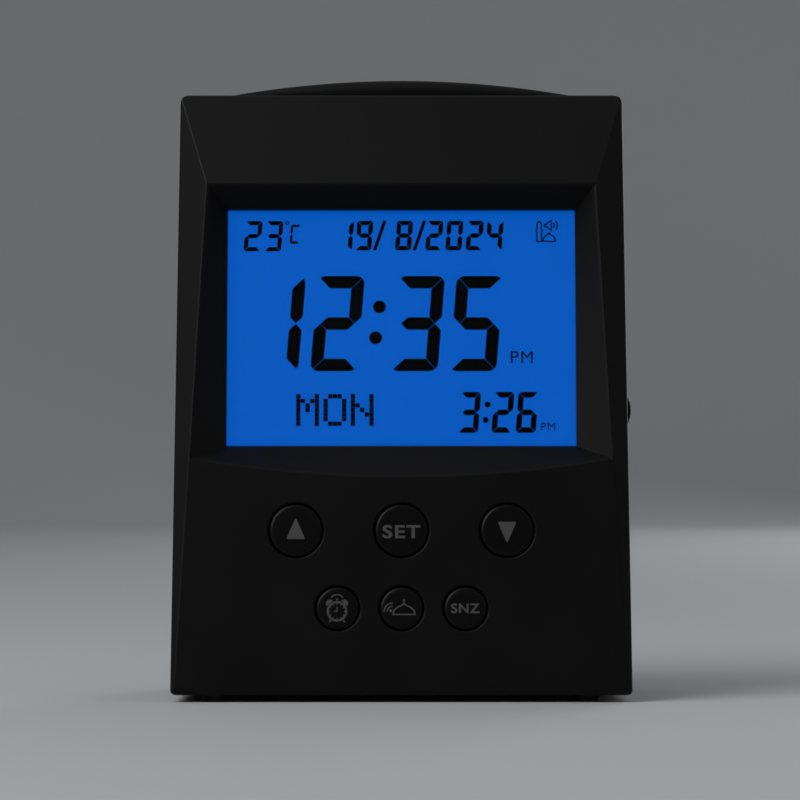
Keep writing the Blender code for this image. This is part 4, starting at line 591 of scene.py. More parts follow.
def finish_shell(shell, end):
    """Opens a shell's seats for the feet and its part of the light bar's slot, and dresses it."""
    cut(shell, rods([((spot.x, spot.y, FEET_HEIGHT - OVERRUN), (spot.x, spot.y, FEET_HEIGHT + FOOT_SEAT),
                      FOOT_SEAT_RADIUS) for name, spot in FEET.items() if end in name]))
    cut(shell, bar_box(GAP, CASE_TOP - WALL - OVERRUN, CASE_TOP + OVERRUN))
    dress(shell, "case", end + "_case")


front = case_block("front_shell")
cut(front, half_space(PARTING - GAP / 2, CASE_WIDTH + CASE_HEIGHT))
hollow = piece_of("front_room", planed_block(WALL), CASE_PLASTIC)
cut(hollow, lofted([[(x, 0, v) for x, v in mouth_ring(WALL)],
                    [(x, BOWL_BACK_W, v) for x, v in frame_ring(BOWL_HALF, BOWL_FOOT, BOWL_TOP)]], FACE))
cut(hollow, rods(posts(BOARD_POSTS, WALL / 2, BOARD_W - GAP, BOARD_POST_RADIUS)
                 + posts(KEY_POSTS, WALL / 2, KEY_BOARD_W - GAP, KEY_POST_RADIUS)
                 + posts(CASE_SCREWS, WALL / 2, PARTING + OVERRUN, CASE_POST_RADIUS), FACE))
rib_top = LIGHT_BOARD_TOP - BOARD_THICK - GAP
rib_back = LIGHT_PIN_Y + RIB_WIDTH / 2
cut(hollow, boxes([((x - RIB_WIDTH / 2, rib_back - RIB_LENGTH, rib_top - RIB_HEIGHT),
                    (x + RIB_WIDTH / 2, rib_back, rib_top)) for x in LIGHT_RIBS]))
leave_stakes(hollow, posts(KEY_POSTS, KEY_BOARD_W - OVERRUN, KEY_BOARD_W + BOARD_THICK + GAP + STAKE_HEAD,
                           STAKE_RADIUS), FACE)
pin_top = LIGHT_BOARD_TOP + GAP + STAKE_HEAD
leave_stakes(hollow, [((x, LIGHT_PIN_Y, rib_top - RIB_HEIGHT / 2), (x, LIGHT_PIN_Y, pin_top), STAKE_RADIUS)
                      for x in LIGHT_RIBS])
cut(front, hollow)
cut(front, funnel())
cut(front, flared_holes([(radius + GAP, at_face(x, 0, v)) for _, x, v, radius in BUTTONS], HOLE_ROUND))
cut(front, rods(posts(BOARD_POSTS, BOARD_W - GAP - BOARD_PILOT_DEPTH, BOARD_W, BOARD_PILOT_RADIUS)
                + posts(CASE_SCREWS, PARTING - CASE_PILOT_DEPTH, PARTING, CASE_PILOT_RADIUS), FACE))
cut(front, boxes([((WHEEL_X, WHEEL_W - GAP, WHEEL_V - WHEEL_SLOT_HALF),
                   (WHEEL_X + 2 * WHEEL_RADIUS, PARTING, WHEEL_V + WHEEL_SLOT_HALF))], FACE))
finish_shell(front, "front")


# Rear case: the second shell, with the speaker's grille, the battery compartment, and four
# deep tubes for the screws that hold the shells together. Same plastic as the front.
LEDGE_D = 2.3
BAY_WALL = 1.6
BAY_HALF = 29
BAY_RISE = 23.8
BAY_BACK_D = 17.4
BAY_MIDDLE_H = 35
DOOR_HALF = 32
DOOR_RISE = 26
DOOR_FOOT = 9
DOOR_THICK = 2
HOOKS = (-18, 18)                 # their places across
HOOK_WIDTH = 6
HOOK_LENGTH = 2.6
HOOK_SKIN = 1.1
TUBE_RADIUS = 4.2
TUBE_FLOOR = 2.5
SCREW_HEAD_ROOM = 3
SPEAKER_H = 110.03
SPEAKER_RADIUS = 25
SPEAKER_FLANGE_BACK_D = 5
SPEAKER_PINS = (-18.95, 18.95)    # their places from the speaker's axis, across and up
GRILLE_RINGS = 3
GRILLE_RING_HOLES = 6
GRILLE_PITCH = 5.4
GRILLE_HOLE_RADIUS = 1.2
GRILLE_HOLE_ROUND = 0.3
GRILLE_HOLE_STEPS = 24


def bay_box(half, rise, back_d, front_y):
    """A box about the middle of the battery compartment, as a cutter."""
    return boxes([((-half, -back_d, BAY_MIDDLE_H - rise), (half, front_y, BAY_MIDDLE_H + rise))], REAR)


back = case_block("rear_shell")
cut(back, half_space(-CASE_WIDTH - CASE_HEIGHT, PARTING + GAP / 2))
hollow = piece_of("rear_room", planed_block(WALL), CASE_PLASTIC)
lip = GAP + BAY_WALL
cut(hollow, bay_box(DOOR_HALF + lip, DOOR_RISE + lip, LEDGE_D + BAY_WALL, -WALL / 2))
cut(hollow, bay_box(BAY_HALF + BAY_WALL, BAY_RISE + BAY_WALL, BAY_BACK_D + BAY_WALL, -WALL / 2))
cut(hollow, rods(posts(CASE_SCREWS, PARTING - OVERRUN, 2 * CASE_DEPTH, TUBE_RADIUS), FACE))
pin_end = -SPEAKER_FLANGE_BACK_D - GAP - STAKE_HEAD
leave_stakes(hollow, [((x, -WALL / 2, SPEAKER_H + up), (x, pin_end, SPEAKER_H + up), STAKE_RADIUS)
                      for x in SPEAKER_PINS for up in SPEAKER_PINS], REAR)
cut(back, hollow)
cut(back, bay_box(DOOR_HALF + GAP, DOOR_RISE + GAP, LEDGE_D, OVERRUN))
cut(back, bay_box(BAY_HALF, BAY_RISE, BAY_BACK_D, 0))
half = HOOK_WIDTH / 2 + GAP
cut(back, boxes([((x - half, -LEDGE_D - BAY_WALL - OVERRUN / 2, DOOR_FOOT - HOOK_LENGTH - GAP),
                  (x + half, GAP - HOOK_SKIN, BAY_MIDDLE_H - BAY_RISE + OVERRUN / 2)) for x in HOOKS], REAR))
grille = []
for ring in range(GRILLE_RINGS + 1):
    holes = max(1, GRILLE_RING_HOLES * ring)
    for i in range(holes):
        spot = Matrix.Rotation(math.tau * i / holes, 2) @ Vector((ring * GRILLE_PITCH, 0))
        grille.append((GRILLE_HOLE_RADIUS,
                       REAR @ Matrix.Translation((spot.x, 0, SPEAKER_H + spot.y)) @ INTO_CASE))
cut(back, flared_holes(grille, GRILLE_HOLE_ROUND, GRILLE_HOLE_STEPS, 4))
for start, end, radius in ((PARTING - OVERRUN, PARTING + TUBE_FLOOR + OVERRUN, CASE_PILOT_RADIUS),
                           (PARTING + GAP / 2 + TUBE_FLOOR, 2 * CASE_DEPTH, SCREW_HEAD_ROOM)):
    cut(back, rods(posts(CASE_SCREWS, start, end, radius), FACE))
finish_shell(back, "rear")


# Display: a liquid crystal panel lit blue from behind, under a clear window. Its dark marks
# lie on the panel's face. Just inside the window's frame its light is darkened by painted shade.
FRAME_SHADE_WIDTH = 1.2                   # width of the painted shade just inside the window's frame
FRAME_SHADE_SHARE = 0.35
FRAME_SHADE_MARGIN = 0.6                 # how far behind the frame the painted shade starts, at the sides and the top
PANEL_COLOUR = (0.0, 0.022, 0.115)
GLOW_COLOUR = (0.0, 0.088, 0.465)

display_blue, tree, shader = new_finish("display_blue")
spot = millimetres(tree)
up = Vector((0, math.sin(LEAN), math.cos(LEAN)))
up_the_face = wire(tree, "VectorMath", "Value", {0: spot, 1: tuple(up)}, operation="DOT_PRODUCT")
from_middle = wire(tree, "Math", "Value", {0: wire(tree, "SeparateXYZ", "X", {"Vector": spot})},
                   operation="ABSOLUTE")
face_foot = FACE.translation.dot(up)
# Painted shade: the panel's light and its colour darken in a border inside the window's frame, standing in
# for the frame's shadow.
frame_shaded_glow = 1.0
for value, edge, inwards in ((from_middle, WINDOW_HALF + FRAME_SHADE_MARGIN, -1),
                             (up_the_face, face_foot + WINDOW_FOOT, 1),
                             (up_the_face, face_foot + WINDOW_TOP + FRAME_SHADE_MARGIN, -1)):
    frame_shaded_glow = times(tree, frame_shaded_glow, ranged(tree, value, edge, edge + inwards * FRAME_SHADE_WIDTH, FRAME_SHADE_SHARE, 1.0,
                                    "SMOOTHSTEP"))
frame_shaded_glow = times(tree, frame_shaded_glow, ranged(tree, noise(tree, spot, 0.035, 1.0), 0.3, 0.7, 0.97, 1.03))
feed(tree, shader, {"Emission Color": blended(tree, frame_shaded_glow, (0, 0, 0), GLOW_COLOUR), "Emission Strength": 1.0,
                    "Base Color": blended(tree, frame_shaded_glow, (0, 0, 0), PANEL_COLOUR), "Roughness": 0.3,
                    "Specular IOR Level": 0.2})


def paint(finish, *nodes):
    """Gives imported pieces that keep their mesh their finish."""
    for node in nodes:
        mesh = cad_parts[node].data
        mesh.materials.clear()
        mesh.materials.append(finish)


paint(display_blue, "lcd_panel")

clear_plastic, tree, shader = new_finish("clear_plastic")
haze = ranged(tree, noise(tree, millimetres(tree), 0.08), 0.3, 0.7, 0.02, 0.05)
feed(tree, shader, {"Roughness": haze, "Base Color": (0.96, 0.98, 1.0, 1), "Transmission Weight": 1.0,
                    "IOR": 1.15, "Specular IOR Level": 0.15})
paint(clear_plastic, "display_window", "light_guide")

# Behind the panel: the white holder, the reflector sheet and the lamps' strip, and the
# striped rubber that carries the panel's lines to the board.
WHITE_PLASTIC = moulded("white_plastic", (0.60, 0.60, 0.58), (0.70, 0.70, 0.68), (0.4, 0.5), 3.0, 0.006)
paint(WHITE_PLASTIC, "display_holder", "reflector_sheet", "backlight_lamps")


def banded(name, dark, light, pitch, roughness):
    """A sleeve or strip of fine lines side by side, a pitch apart."""
    made, tree, shader = new_finish(name)
    lines = wire(tree, "TexWave", "Fac", {"Vector": millimetres(tree), "Scale": math.tau / (20 * pitch)},
                 bands_direction="X")
    feed(tree, shader, {"Base Color": blended(tree, ranged(tree, lines, 0.3, 0.7, 0, 1), dark, light),
                        "Normal": relief(tree, lines, 0.05), "Roughness": roughness})
    return made


paint(banded("striped_rubber", (0.05, 0.05, 0.055), (0.35, 0.35, 0.36), 0.5, 0.6), "contact_strip")

# Display marks: seven-bar figures, a dotted weekday and small signs, as thin dark films
# between the panel and the window. The call sign is a slim tower beside a dome, under a horn.
FILM_LOW = -9.76                  # behind the face, so below zero
FILM_HIGH = -9.64
SLANT = 0.08                      # lean of the figures, across for each step up
BAR_GAP = 0.08                    # half the gap between two bars of a figure
BAR_CORNER_SHARE = 0.6            # of a bar's thickness, for a figure's rounded corners
FIGURE_BARS = {
    "0": "abcdef", "1": "bc", "2": "abged", "3": "abgcd", "4": "fgbc", "5": "afgcd",
    "6": "afgedc", "8": "abcdefg", "9": "abcdfg", "C": "afed",
}
FIGURE_ROWS = [
    # height of the foot up the face, width, height, bar thickness, figures with their left edges
    (95.75, 13.7, 28.3, 3.7, (("1", -43.8), ("2", -26.6), ("3", -3.15), ("5", 13.95))),
    (131.45, 4.9, 9.05, 1.25, (("2", -46.25), ("3", -40.15))),
    (131.7, 4.75, 8.9, 1.35, (("1", -19.25), ("9", -13.6), ("8", -1.95), ("2", 6.95), ("0", 12.8),
                              ("2", 18.75), ("4", 24.6))),
    (77.55, 5.85, 12.05, 1.65, (("3", 16.4), ("2", 26.1), ("6", 33.15))),
    (133.7, 3.0, 5.7, 0.78, (("C", -32.8),)),
]
FIGURE_DOTS = [
    # x, y, radius
    (-6.4, 114.85, 1.9), (-7.5, 105.65, 1.9), (25.1, 85.9, 0.88), (24.5, 81.35, 0.88),
]
DATE_STROKES = (-7.86, 3.78)      # the strokes between the date's numbers, at their feet
DOT_PITCH = 1.35
DOT_SIZE = 1.27
LETTER_PITCH = 7.94
WORD_PLACE = (-30.6, 79.6)
WORD_LETTERS = [
    ("#...#", "##.##", "#.#.#", "#.#.#", "#...#", "#...#", "#...#"),
    (".###.", "#...#", "#...#", "#...#", "#...#", "#...#", ".###."),
    ("#...#", "#...#", "##..#", "#.#.#", "#..##", "#...#", "#...#"),
]
SIGN_LINE = 0.4
TOWER = [(39.7, 134.4), (39.7, 137.3), (39.45, 137.7), (39.8, 138.2), (39.8, 139.7), (40.4, 140.5),
         (41.0, 139.7), (41.0, 138.2), (41.35, 137.7), (41.1, 137.3), (41.1, 134.4)]
HORN = [(41.9, 138.9), (41.9, 139.5), (42.4, 139.5), (43.9, 140.7), (43.9, 137.7), (42.4, 138.9)]
LETTER_SPACING = 1.12
ON_FACE = FACE @ OUT_OF_FACE      # flat drawings: x across, y up the face, z out of it


def arc(x, y, radius, start, end, steps=16):
    """Points on an arc, its angles in degrees."""
    turns = [math.radians(start + (end - start) * i / steps) for i in range(steps + 1)]
    return [(x + radius * math.cos(turn), y + radius * math.sin(turn)) for turn in turns]


def figure_bars(width, height, thick):
    """The seven bars of an upright figure, each an outline with mitred ends and the figure's
    own corners rounded."""
    middle, half, gap = height / 2, thick / 2, BAR_GAP
    corner = BAR_CORNER_SHARE * thick
    tip = corner * (1 - math.sqrt(0.5))
    shoulder = corner * (1 - math.cos(math.pi / 8))
    slope = corner * (1 - math.sin(math.pi / 8))

    def flip(outline, across=False, over=False):
        return [(width - x if across else x, height - y if over else y) for x, y in outline]

    top = [(tip + gap, height - tip), (slope + gap, height - shoulder), (corner + gap, height),
           (width - corner - gap, height), (width - slope - gap, height - shoulder),
           (width - tip - gap, height - tip), (width - thick - gap, height - thick),
           (thick + gap, height - thick)]
    right = [(width - tip, height - tip - gap), (width - shoulder, height - slope - gap),
             (width, height - corner - gap), (width, middle + half + gap), (width - half, middle + gap),
             (width - thick, middle + half + gap), (width - thick, height - thick - gap)]
    across = [(half + gap, middle), (thick + gap, middle + half), (width - thick - gap, middle + half),
              (width - half - gap, middle), (width - thick - gap, middle - half),
              (thick + gap, middle - half)]
    return {"a": top, "d": flip(top, over=True), "b": right, "c": flip(right, over=True),
            "f": flip(right, across=True), "e": flip(right, across=True, over=True), "g": across}


def add_line(bm, points, width, closed=False):
    """A drawn line of even width, mitred at its corners."""
    count = len(points)
    sections = []
    for i, point in enumerate(points):
        before = Vector(points[i - 1] if closed or i else points[i])
        after = Vector(points[(i + 1) % count] if closed or i < count - 1 else points[i])
        here = Vector(point)
        start = (here - before).normalized() if here != before else (after - here).normalized()
        end = (after - here).normalized() if here != after else start
        along = (start + end).normalized()
        side = Vector((-along.y, along.x)) * (width / 2) / max(0.5, along.dot(start))
        left, right = here + side, here - side
        sections.append([(*left, 0), (*right, 0), (*right, 1), (*left, 1)])
    add_loft(bm, sections, closed=closed)


def drawing(lines=(), shapes=(), place=(0, 0)):
    """A flat drawing of lines (points, width, closed) and filled shapes, one unit thick."""
    bm = bmesh.new()
    for points, width, closed in lines:
        add_line(bm, points, width, closed)
    for outline in shapes:
        add_loft(bm, [[(x, y, z) for x, y in outline] for z in (0, 1)])
    bm.transform(Matrix.Translation((*place, 0)))
    return bm


def add_word(bm, word, left, foot, width, height, weight=0.0):
    """A printed word, fitted to a width and a height, and made bolder by a weight."""
    curve = bpy.data.curves.new("word", "FONT")
    curve.body = word
    curve.offset = weight
    curve.space_character = LETTER_SPACING
    curve.extrude = 0.5
    drawn = bpy.data.objects.new("word", curve)
    scene.collection.objects.link(drawn)
    graph = bpy.context.evaluated_depsgraph_get()
    letters = bpy.data.meshes.new_from_object(drawn.evaluated_get(graph))
    bpy.data.objects.remove(drawn)
    xs = [vert.co.x for vert in letters.vertices]
    ys = [vert.co.y for vert in letters.vertices]
    size = Matrix.Diagonal((width / (max(xs) - min(xs)), height / (max(ys) - min(ys)), 1, 1))
    letters.transform(Matrix.Translation((left, foot, 0.5)) @ size
                      @ Matrix.Translation((-min(xs), -min(ys), 0)))
    apart = bmesh.new()
    apart.from_mesh(letters)
    bpy.data.meshes.remove(letters)
    bmesh.ops.remove_doubles(apart, verts=apart.verts[:], dist=MERGE / 10)
    joined(bm, apart)


def on_face(bm, low, high):
    """Lays a drawing on the face, between two heights over it."""
    bm.transform(ON_FACE @ Matrix.Translation((0, 0, low)) @ Matrix.Diagonal((1, 1, high - low, 1)))
    return bm


lines = [(arc(-33.45, 139.9, 0.45, 0, 330, 11), 0.32, True)]
lines += [([(x, 131.7), (x + 3.05, 140.6)], 1, False) for x in DATE_STROKES]
vault = arc(0, 0, 1, 0, 50, 2) + [(math.cos(math.radians(70)), math.sin(math.radians(70)))]
dome = [(41.55, 134.4)] + [(43.3 - 1.75 * x, 134.9 + 1.5 * y) for x, y in vault] + [(43.3, 137.0)]
dome += [(43.3 + 1.75 * x, 134.9 + 1.5 * y) for x, y in reversed(vault)] + [(45.05, 134.4)]
lines += [(outline, SIGN_LINE, True) for outline in (TOWER, dome, HORN)]
lines += [(arc(43.6, 139.2, reach, -40, 40, 8), SIGN_LINE, False) for reach in (1.15, 2.1)]
shapes = [arc(x, y, radius, 0, 345, 23) for x, y, radius in FIGURE_DOTS]
for foot, width, height, thick, figures in FIGURE_ROWS:
    bars = figure_bars(width, height, thick)
    shapes += [[(left + x + SLANT * y, foot + y) for x, y in bars[bar]]
               for sign, left in figures for bar in FIGURE_BARS[sign]]
for number, letter in enumerate(WORD_LETTERS):
    for row, dots in enumerate(reversed(letter)):
        for column, dot in enumerate(dots):
            if dot == "#":
                x = WORD_PLACE[0] + number * LETTER_PITCH + column * DOT_PITCH
                y = WORD_PLACE[1] + row * DOT_PITCH
                shapes.append([(x, y), (x + DOT_SIZE, y), (x + DOT_SIZE, y + DOT_SIZE), (x, y + DOT_SIZE)])
bm = drawing(lines, shapes)
add_word(bm, "PM", 31.9, 98.2, 6.4, 3.5)
add_word(bm, "PM", 40.6, 78.3, 4.1, 2.2)
DISPLAY_DARK = moulded("display_dark", (0.0003, 0.0004, 0.0006), (0.0005, 0.0006, 0.0009), (0.4, 0.5), 2.0,
                       0.001, specular=0.04, soften=0.02)
marks = piece_of("display_marks", on_face(bm, FILM_LOW, FILM_HIGH), DISPLAY_DARK)
dress(marks, "case")


# Buttons: six round moulded caps, nearly flush with the face, each with a flange behind it.
# Their rims are rounded, and their tops are a little smoother than the case.
BUTTON_RISE = 0.4
BUTTON_CROWN = 0.06               # how much a cap's middle stands over its rim
BUTTON_RIM = BUTTON_RISE - BUTTON_CROWN
BUTTON_ROUND = 1.05
BUTTON_FLANGE_TOP = -2.5
BUTTON_FLANGE_FOOT = -3.5
BUTTON_LIP = 1.1
BUTTON_FLANGE_ROUND = 0.2


def rounded(corners, steps=5):
    """A flat line through corners (a, b, rounding), each turned by an arc of that radius. It
    runs round into itself where its first or last corner is rounded."""
    line = []
    for i, (a, b, rounding) in enumerate(corners):
        here = Vector((a, b))
        if rounding == 0:
            line.append((a, b))
            continue
        back_on = (Vector(corners[i - 1][:2]) - here).normalized()
        onward = (Vector(corners[(i + 1) % len(corners)][:2]) - here).normalized()
        half = math.acos(max(-1, min(1, back_on.dot(onward)))) / 2
        middle = here + (back_on + onward).normalized() * rounding / math.sin(half)
        start = here + back_on * rounding / math.tan(half) - middle
        end = here + onward * rounding / math.tan(half) - middle
        turn = math.atan2(start.x * end.y - start.y * end.x, start.dot(end))
        line += [tuple(middle + Matrix.Rotation(turn * step / steps, 2) @ start) for step in range(steps + 1)]
    return line


BUTTON_PLASTIC = moulded("button_plastic", (0.0018, 0.0018, 0.0019), (0.0026, 0.0026, 0.0028), (0.32, 0.42),
                         3.6, 0.006, rubbed=(0.009, 0.009, 0.010), specular=0.14)
for key, x, v, radius in BUTTONS:
    crown = [(0, BUTTON_RISE)]
    crown += [(radius * share, BUTTON_RISE - BUTTON_CROWN * share ** 4) for share in (0.5, 0.7, 0.8)]
    edge = radius + BUTTON_LIP
    cap = lathed(crown + rounded([(0, BUTTON_RIM, 0), (radius, BUTTON_RIM, BUTTON_ROUND),
                                  (radius, BUTTON_FLANGE_TOP, BUTTON_FLANGE_ROUND),
                                  (edge, BUTTON_FLANGE_TOP, BUTTON_FLANGE_ROUND),
                                  (edge, BUTTON_FLANGE_FOOT, BUTTON_FLANGE_ROUND),
                                  (0, BUTTON_FLANGE_FOOT, 0)], steps=7)[1:])
    cap.transform(at_face(x, 0, v))
    dress(piece_of(f"button_{key}_cap", cap, BUTTON_PLASTIC), f"{key}_button", f"button_{key}")

# Signs on the buttons: pad-printed in grey, a film with a body of its own. Arrows and plain
# words name the keys, with an alarm clock and a dome with waves for the two alarms.
INK_LOW = BUTTON_RIM - 0.1
INK_HIGH = BUTTON_RISE + 0.03
INK_WEIGHT = 0.027
SIGN_GREY = moulded("sign_grey", (0.062, 0.062, 0.063), (0.074, 0.074, 0.075), (0.5, 0.65), 5.0, 0.004,
                    specular=0.25, soften=0.02)
ARROW_HALF = 2.72
ARROW_HEIGHT = 6.25
ARROW_ROUND = 0.25
CLOCK_PLACE = (-18.4, 24.15)
CLOCK_TICK = (1.95, 2.38)         # a tick's inner and outer ends, from the dial's middle
CLOCK_BELL_TURN = 42              # of each bell from upright, in degrees
CLOCK_BELL_REACH = 3.05
CLOCK_KNOB = [(-0.14, 2.95), (0.14, 2.95), (0.14, 3.35), (0.42, 3.7), (-0.42, 3.7), (-0.14, 3.35)]
DOME_PLACE = (0.75, 23.25)
DOME_SIDE = [(3.15, 0), (3.0, 0.75), (2.55, 1.5), (1.8, 2.1), (0.95, 2.45), (0.4, 2.8)]


def print_sign(key, bm):
    sign = piece_of("sign_" + key, on_face(bm, INK_LOW, INK_HIGH), SIGN_GREY)
    dress(sign, key + "_button")


for key, x, foot, way in (("up", -30.3, 45.0, 1), ("down", 30.3, 50.0, -1)):
    arrow = [(x - way * ARROW_HALF, foot, ARROW_ROUND), (x + way * ARROW_HALF, foot, ARROW_ROUND),
             (x, foot + way * ARROW_HEIGHT, ARROW_ROUND)]
    print_sign(key, drawing(shapes=[rounded(arrow, steps=3)]))
for key, word, left, foot, width, height in (("set", "SET", -5.4, 45.2, 10.8, 3.9),
                                             ("snooze", "SNZ", 14.2, 23.6, 8.2, 2.85)):
    bm = bmesh.new()
    add_word(bm, word, left, foot, width, height, INK_WEIGHT)
    print_sign(key, bm)

lines = [(arc(0, 0, 2.65, 0, 352.5, 47), 0.57, True), ([(0, 1.35), (0, 0), (-0.95, 0)], 0.32, False),
         (arc(0, 2.75, 2.05, 35, 145, 16), 0.38, False)]
for hour in range(12):
    turn = math.radians(30 * hour)
    lines.append(([(reach * math.cos(turn), reach * math.sin(turn)) for reach in CLOCK_TICK], 0.3, False))
shapes = [CLOCK_KNOB]
for side in (-1, 1):
    lean = 90 - side * CLOCK_BELL_TURN
    bell = arc(0, 0, CLOCK_BELL_REACH, lean, lean, 1)[0]
    shapes.append(arc(*bell, 1.15, lean - 90, lean + 90, 12))
    lines.append(([(side * 1.75, -2.45), (side * 2.25, -3.1)], 0.45, False))
print_sign("alarm", drawing(lines, shapes, CLOCK_PLACE))

dome = DOME_SIDE + [(0, 3.3)] + [(-x, y) for x, y in reversed(DOME_SIDE)]
lines = [(dome, 0.4, True)] + [(arc(-3.4, 1.0, reach, 85, 185, 12), 0.4, False) for reach in (1.35, 2.25)]
shapes = [arc(0, 4.05, 0.38, 0, 330, 11), arc(-3.75, 1.1, 0.45, 0, 330, 11)]
print_sign("call", drawing(lines, shapes, DOME_PLACE))

# Keypad: one soft sheet of grey silicone on the key board, with a dome under each button. A
# dome gives way under its button, and each is a piece with a mesh of its own.
KEYPAD_THICK = 1
KEYPAD_W = KEY_BOARD_W - GAP - KEYPAD_THICK
KEYPAD_HALF = 41
KEYPAD_FOOT = 15
KEYPAD_TOP = 57
KEYPAD_CORNER = 2
KEY_DOME_HEIGHT = 2.6
KEY_DOME_FOOT_SHARE = 0.7         # of the button's radius
KEY_DOME_TOP_SHARE = 0.5          # of the button's radius
KEY_SKIRT_SHARE = 0.55            # of the dome's height, where its skirt meets its top
KEY_DOME_ROUND = 0.3
KEY_DOME_STEPS = 64
RUBBER_SEAM = 0.02
KEY_RUBBER = moulded("key_rubber", (0.30, 0.30, 0.31), (0.38, 0.38, 0.39), (0.55, 0.7), 3.0, 0.01)


def corners_of(half, foot, top, corner):
    """The corners of an upright plate about the middle, with their rounding."""
    return [(-half, foot, corner), (half, foot, corner), (half, top, corner), (-half, top, corner)]


sheet = drawing(shapes=[rounded(corners_of(KEYPAD_HALF, KEYPAD_FOOT, KEYPAD_TOP, KEYPAD_CORNER))])
dress(piece_of("keypad_sheet", on_face(sheet, -KEYPAD_W - KEYPAD_THICK, -KEYPAD_W), KEY_RUBBER), "case",
      "keypad_membrane")
for key, x, v, radius in BUTTONS:
    foot, top = radius * KEY_DOME_FOOT_SHARE, radius * KEY_DOME_TOP_SHARE
    bm = lathed(rounded([(0, KEY_DOME_HEIGHT, 0), (top, KEY_DOME_HEIGHT, KEY_DOME_ROUND),
                         (top, KEY_DOME_HEIGHT * KEY_SKIRT_SHARE, KEY_DOME_ROUND),
                         (foot, RUBBER_SEAM, 0), (0, RUBBER_SEAM, 0)]), KEY_DOME_STEPS)
    seat = Vector((x, KEYPAD_W, v))
    bm.transform(at_face(*seat))
    dome = piece_of("key_dome_" + key, bm, KEY_RUBBER)
    dress(dome, "case")
    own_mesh(dome)


# Light bar: a long low arch in the top edge, pressed to light the display. It is a moulded
# cap with a flange under the case top, and posts over the board's dome and springs.
BAR_RISE = 4.85
BAR_RADIUS = (BAR_HALF ** 2 + BAR_RISE ** 2) / (2 * BAR_RISE)
BAR_SKIN = 1.6
BAR_FLANGE_TOP = CASE_TOP - WALL - GAP
BAR_FLANGE_FOOT = BAR_FLANGE_TOP - 1.3
BAR_LIP = 1.1
BAR_ROUND = 0.9                   # of its long edges at its ends
BAR_SWELL = 0.5                   # how much rounder they grow for each step up the arch
BAR_STATIONS = 72
BAR_POST_RADIUS = 2.4
BAR_POST_FOOT = BAR_FLANGE_FOOT - 0.7
BAR_SEAT_RADIUS = 3.4
BAR_SEAT_X = 12


def arch(half, radius, crown, depth, foot, rounding):
    """An arched block: its section across the depth, at stations along the arch."""
    sections = []
    for i in range(BAR_STATIONS + 1):
        x = half * (2 * i / BAR_STATIONS - 1)
        top = CASE_TOP + crown - radius + math.sqrt(radius ** 2 - x ** 2)
        edge = rounding + BAR_SWELL * (top - CASE_TOP) if rounding else 0
        section = rounded([(BAR_Y - depth / 2, foot, 0), (BAR_Y + depth / 2, foot, 0),
                           (BAR_Y + depth / 2, top, edge), (BAR_Y - depth / 2, top, edge)], steps=7)
        sections.append([(x, y, z) for y, z in section])
    return lofted(sections)


bar = piece_of("light_bar_cap", arch(BAR_HALF, BAR_RADIUS, BAR_RISE, BAR_DEPTH, BAR_FLANGE_FOOT, BAR_ROUND),
               CASE_PLASTIC)
cut(bar, bar_box(BAR_LIP, BAR_FLANGE_FOOT, BAR_FLANGE_TOP), "UNION")
cut(bar, arch(BAR_HALF - BAR_SKIN, BAR_RADIUS - BAR_SKIN, BAR_RISE - BAR_SKIN, BAR_DEPTH - 2 * BAR_SKIN,
              BAR_FLANGE_FOOT - OVERRUN, 0))
inside = CASE_TOP + BAR_RISE - BAR_SKIN / 2
cut(bar, rods([((x, BAR_Y, foot), (x, BAR_Y, inside), radius)
               for x, foot, radius in ((0, BAR_POST_FOOT, BAR_POST_RADIUS),
                                       (-BAR_SEAT_X, BAR_FLANGE_FOOT, BAR_SEAT_RADIUS),
                                       (BAR_SEAT_X, BAR_FLANGE_FOOT, BAR_SEAT_RADIUS))]), "UNION")
dress(bar, "light_bar", "light_bar")

# Under the bar: a silicone dome over the light's contact, and two wound steel springs that
# lift the bar. They stand on the light board, and give way as the bar comes down.
LIGHT_DOME_RADIUS = 4.6
LIGHT_DOME_SHEET = 0.8
LIGHT_DOME_TOP = 2.3
LIGHT_DOME_FOOT = 3.45            # where it meets its sheet
LIGHT_DOME_ROUND = 0.25
BAR_SPRING_RADIUS = 2.4
BAR_SPRING_WIRE = 0.25
SPRING_TURNS = 3
SPRING_STEPS = 28                 # for each turn
SPRING_SIDES = 10
STEEL = moulded("plated_steel", (0.42, 0.42, 0.41), (0.56, 0.56, 0.55), (0.25, 0.4), 6.0, 0.003, metallic=1.0)


def wound_spring(start, end, root_radius, tip_radius, wire_radius, matrix):
    """A wound spring about a line along X, from its root to its tip."""
    sections = []
    count = SPRING_TURNS * SPRING_STEPS
    along = Vector((end.x - start.x, 0, 0)).normalized()
    for i in range(count + 1):
        share = i / count
        turn = math.tau * SPRING_TURNS * share
        out = Vector((0, math.cos(turn), math.sin(turn)))
        middle = start.lerp(end, share) + out * (root_radius + (tip_radius - root_radius) * share)
        sections.append([middle + (out * math.cos(bend) + along * math.sin(bend)) * wire_radius
                         for bend in (math.tau * side / SPRING_SIDES for side in range(SPRING_SIDES))])
    return lofted(sections, matrix)


board_seat = LIGHT_BOARD_TOP + GAP


def give_way(piece, node):
    """Rides a soft piece on the case, with a mesh of its own."""
    dress(piece, "case", node)
    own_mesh(piece)


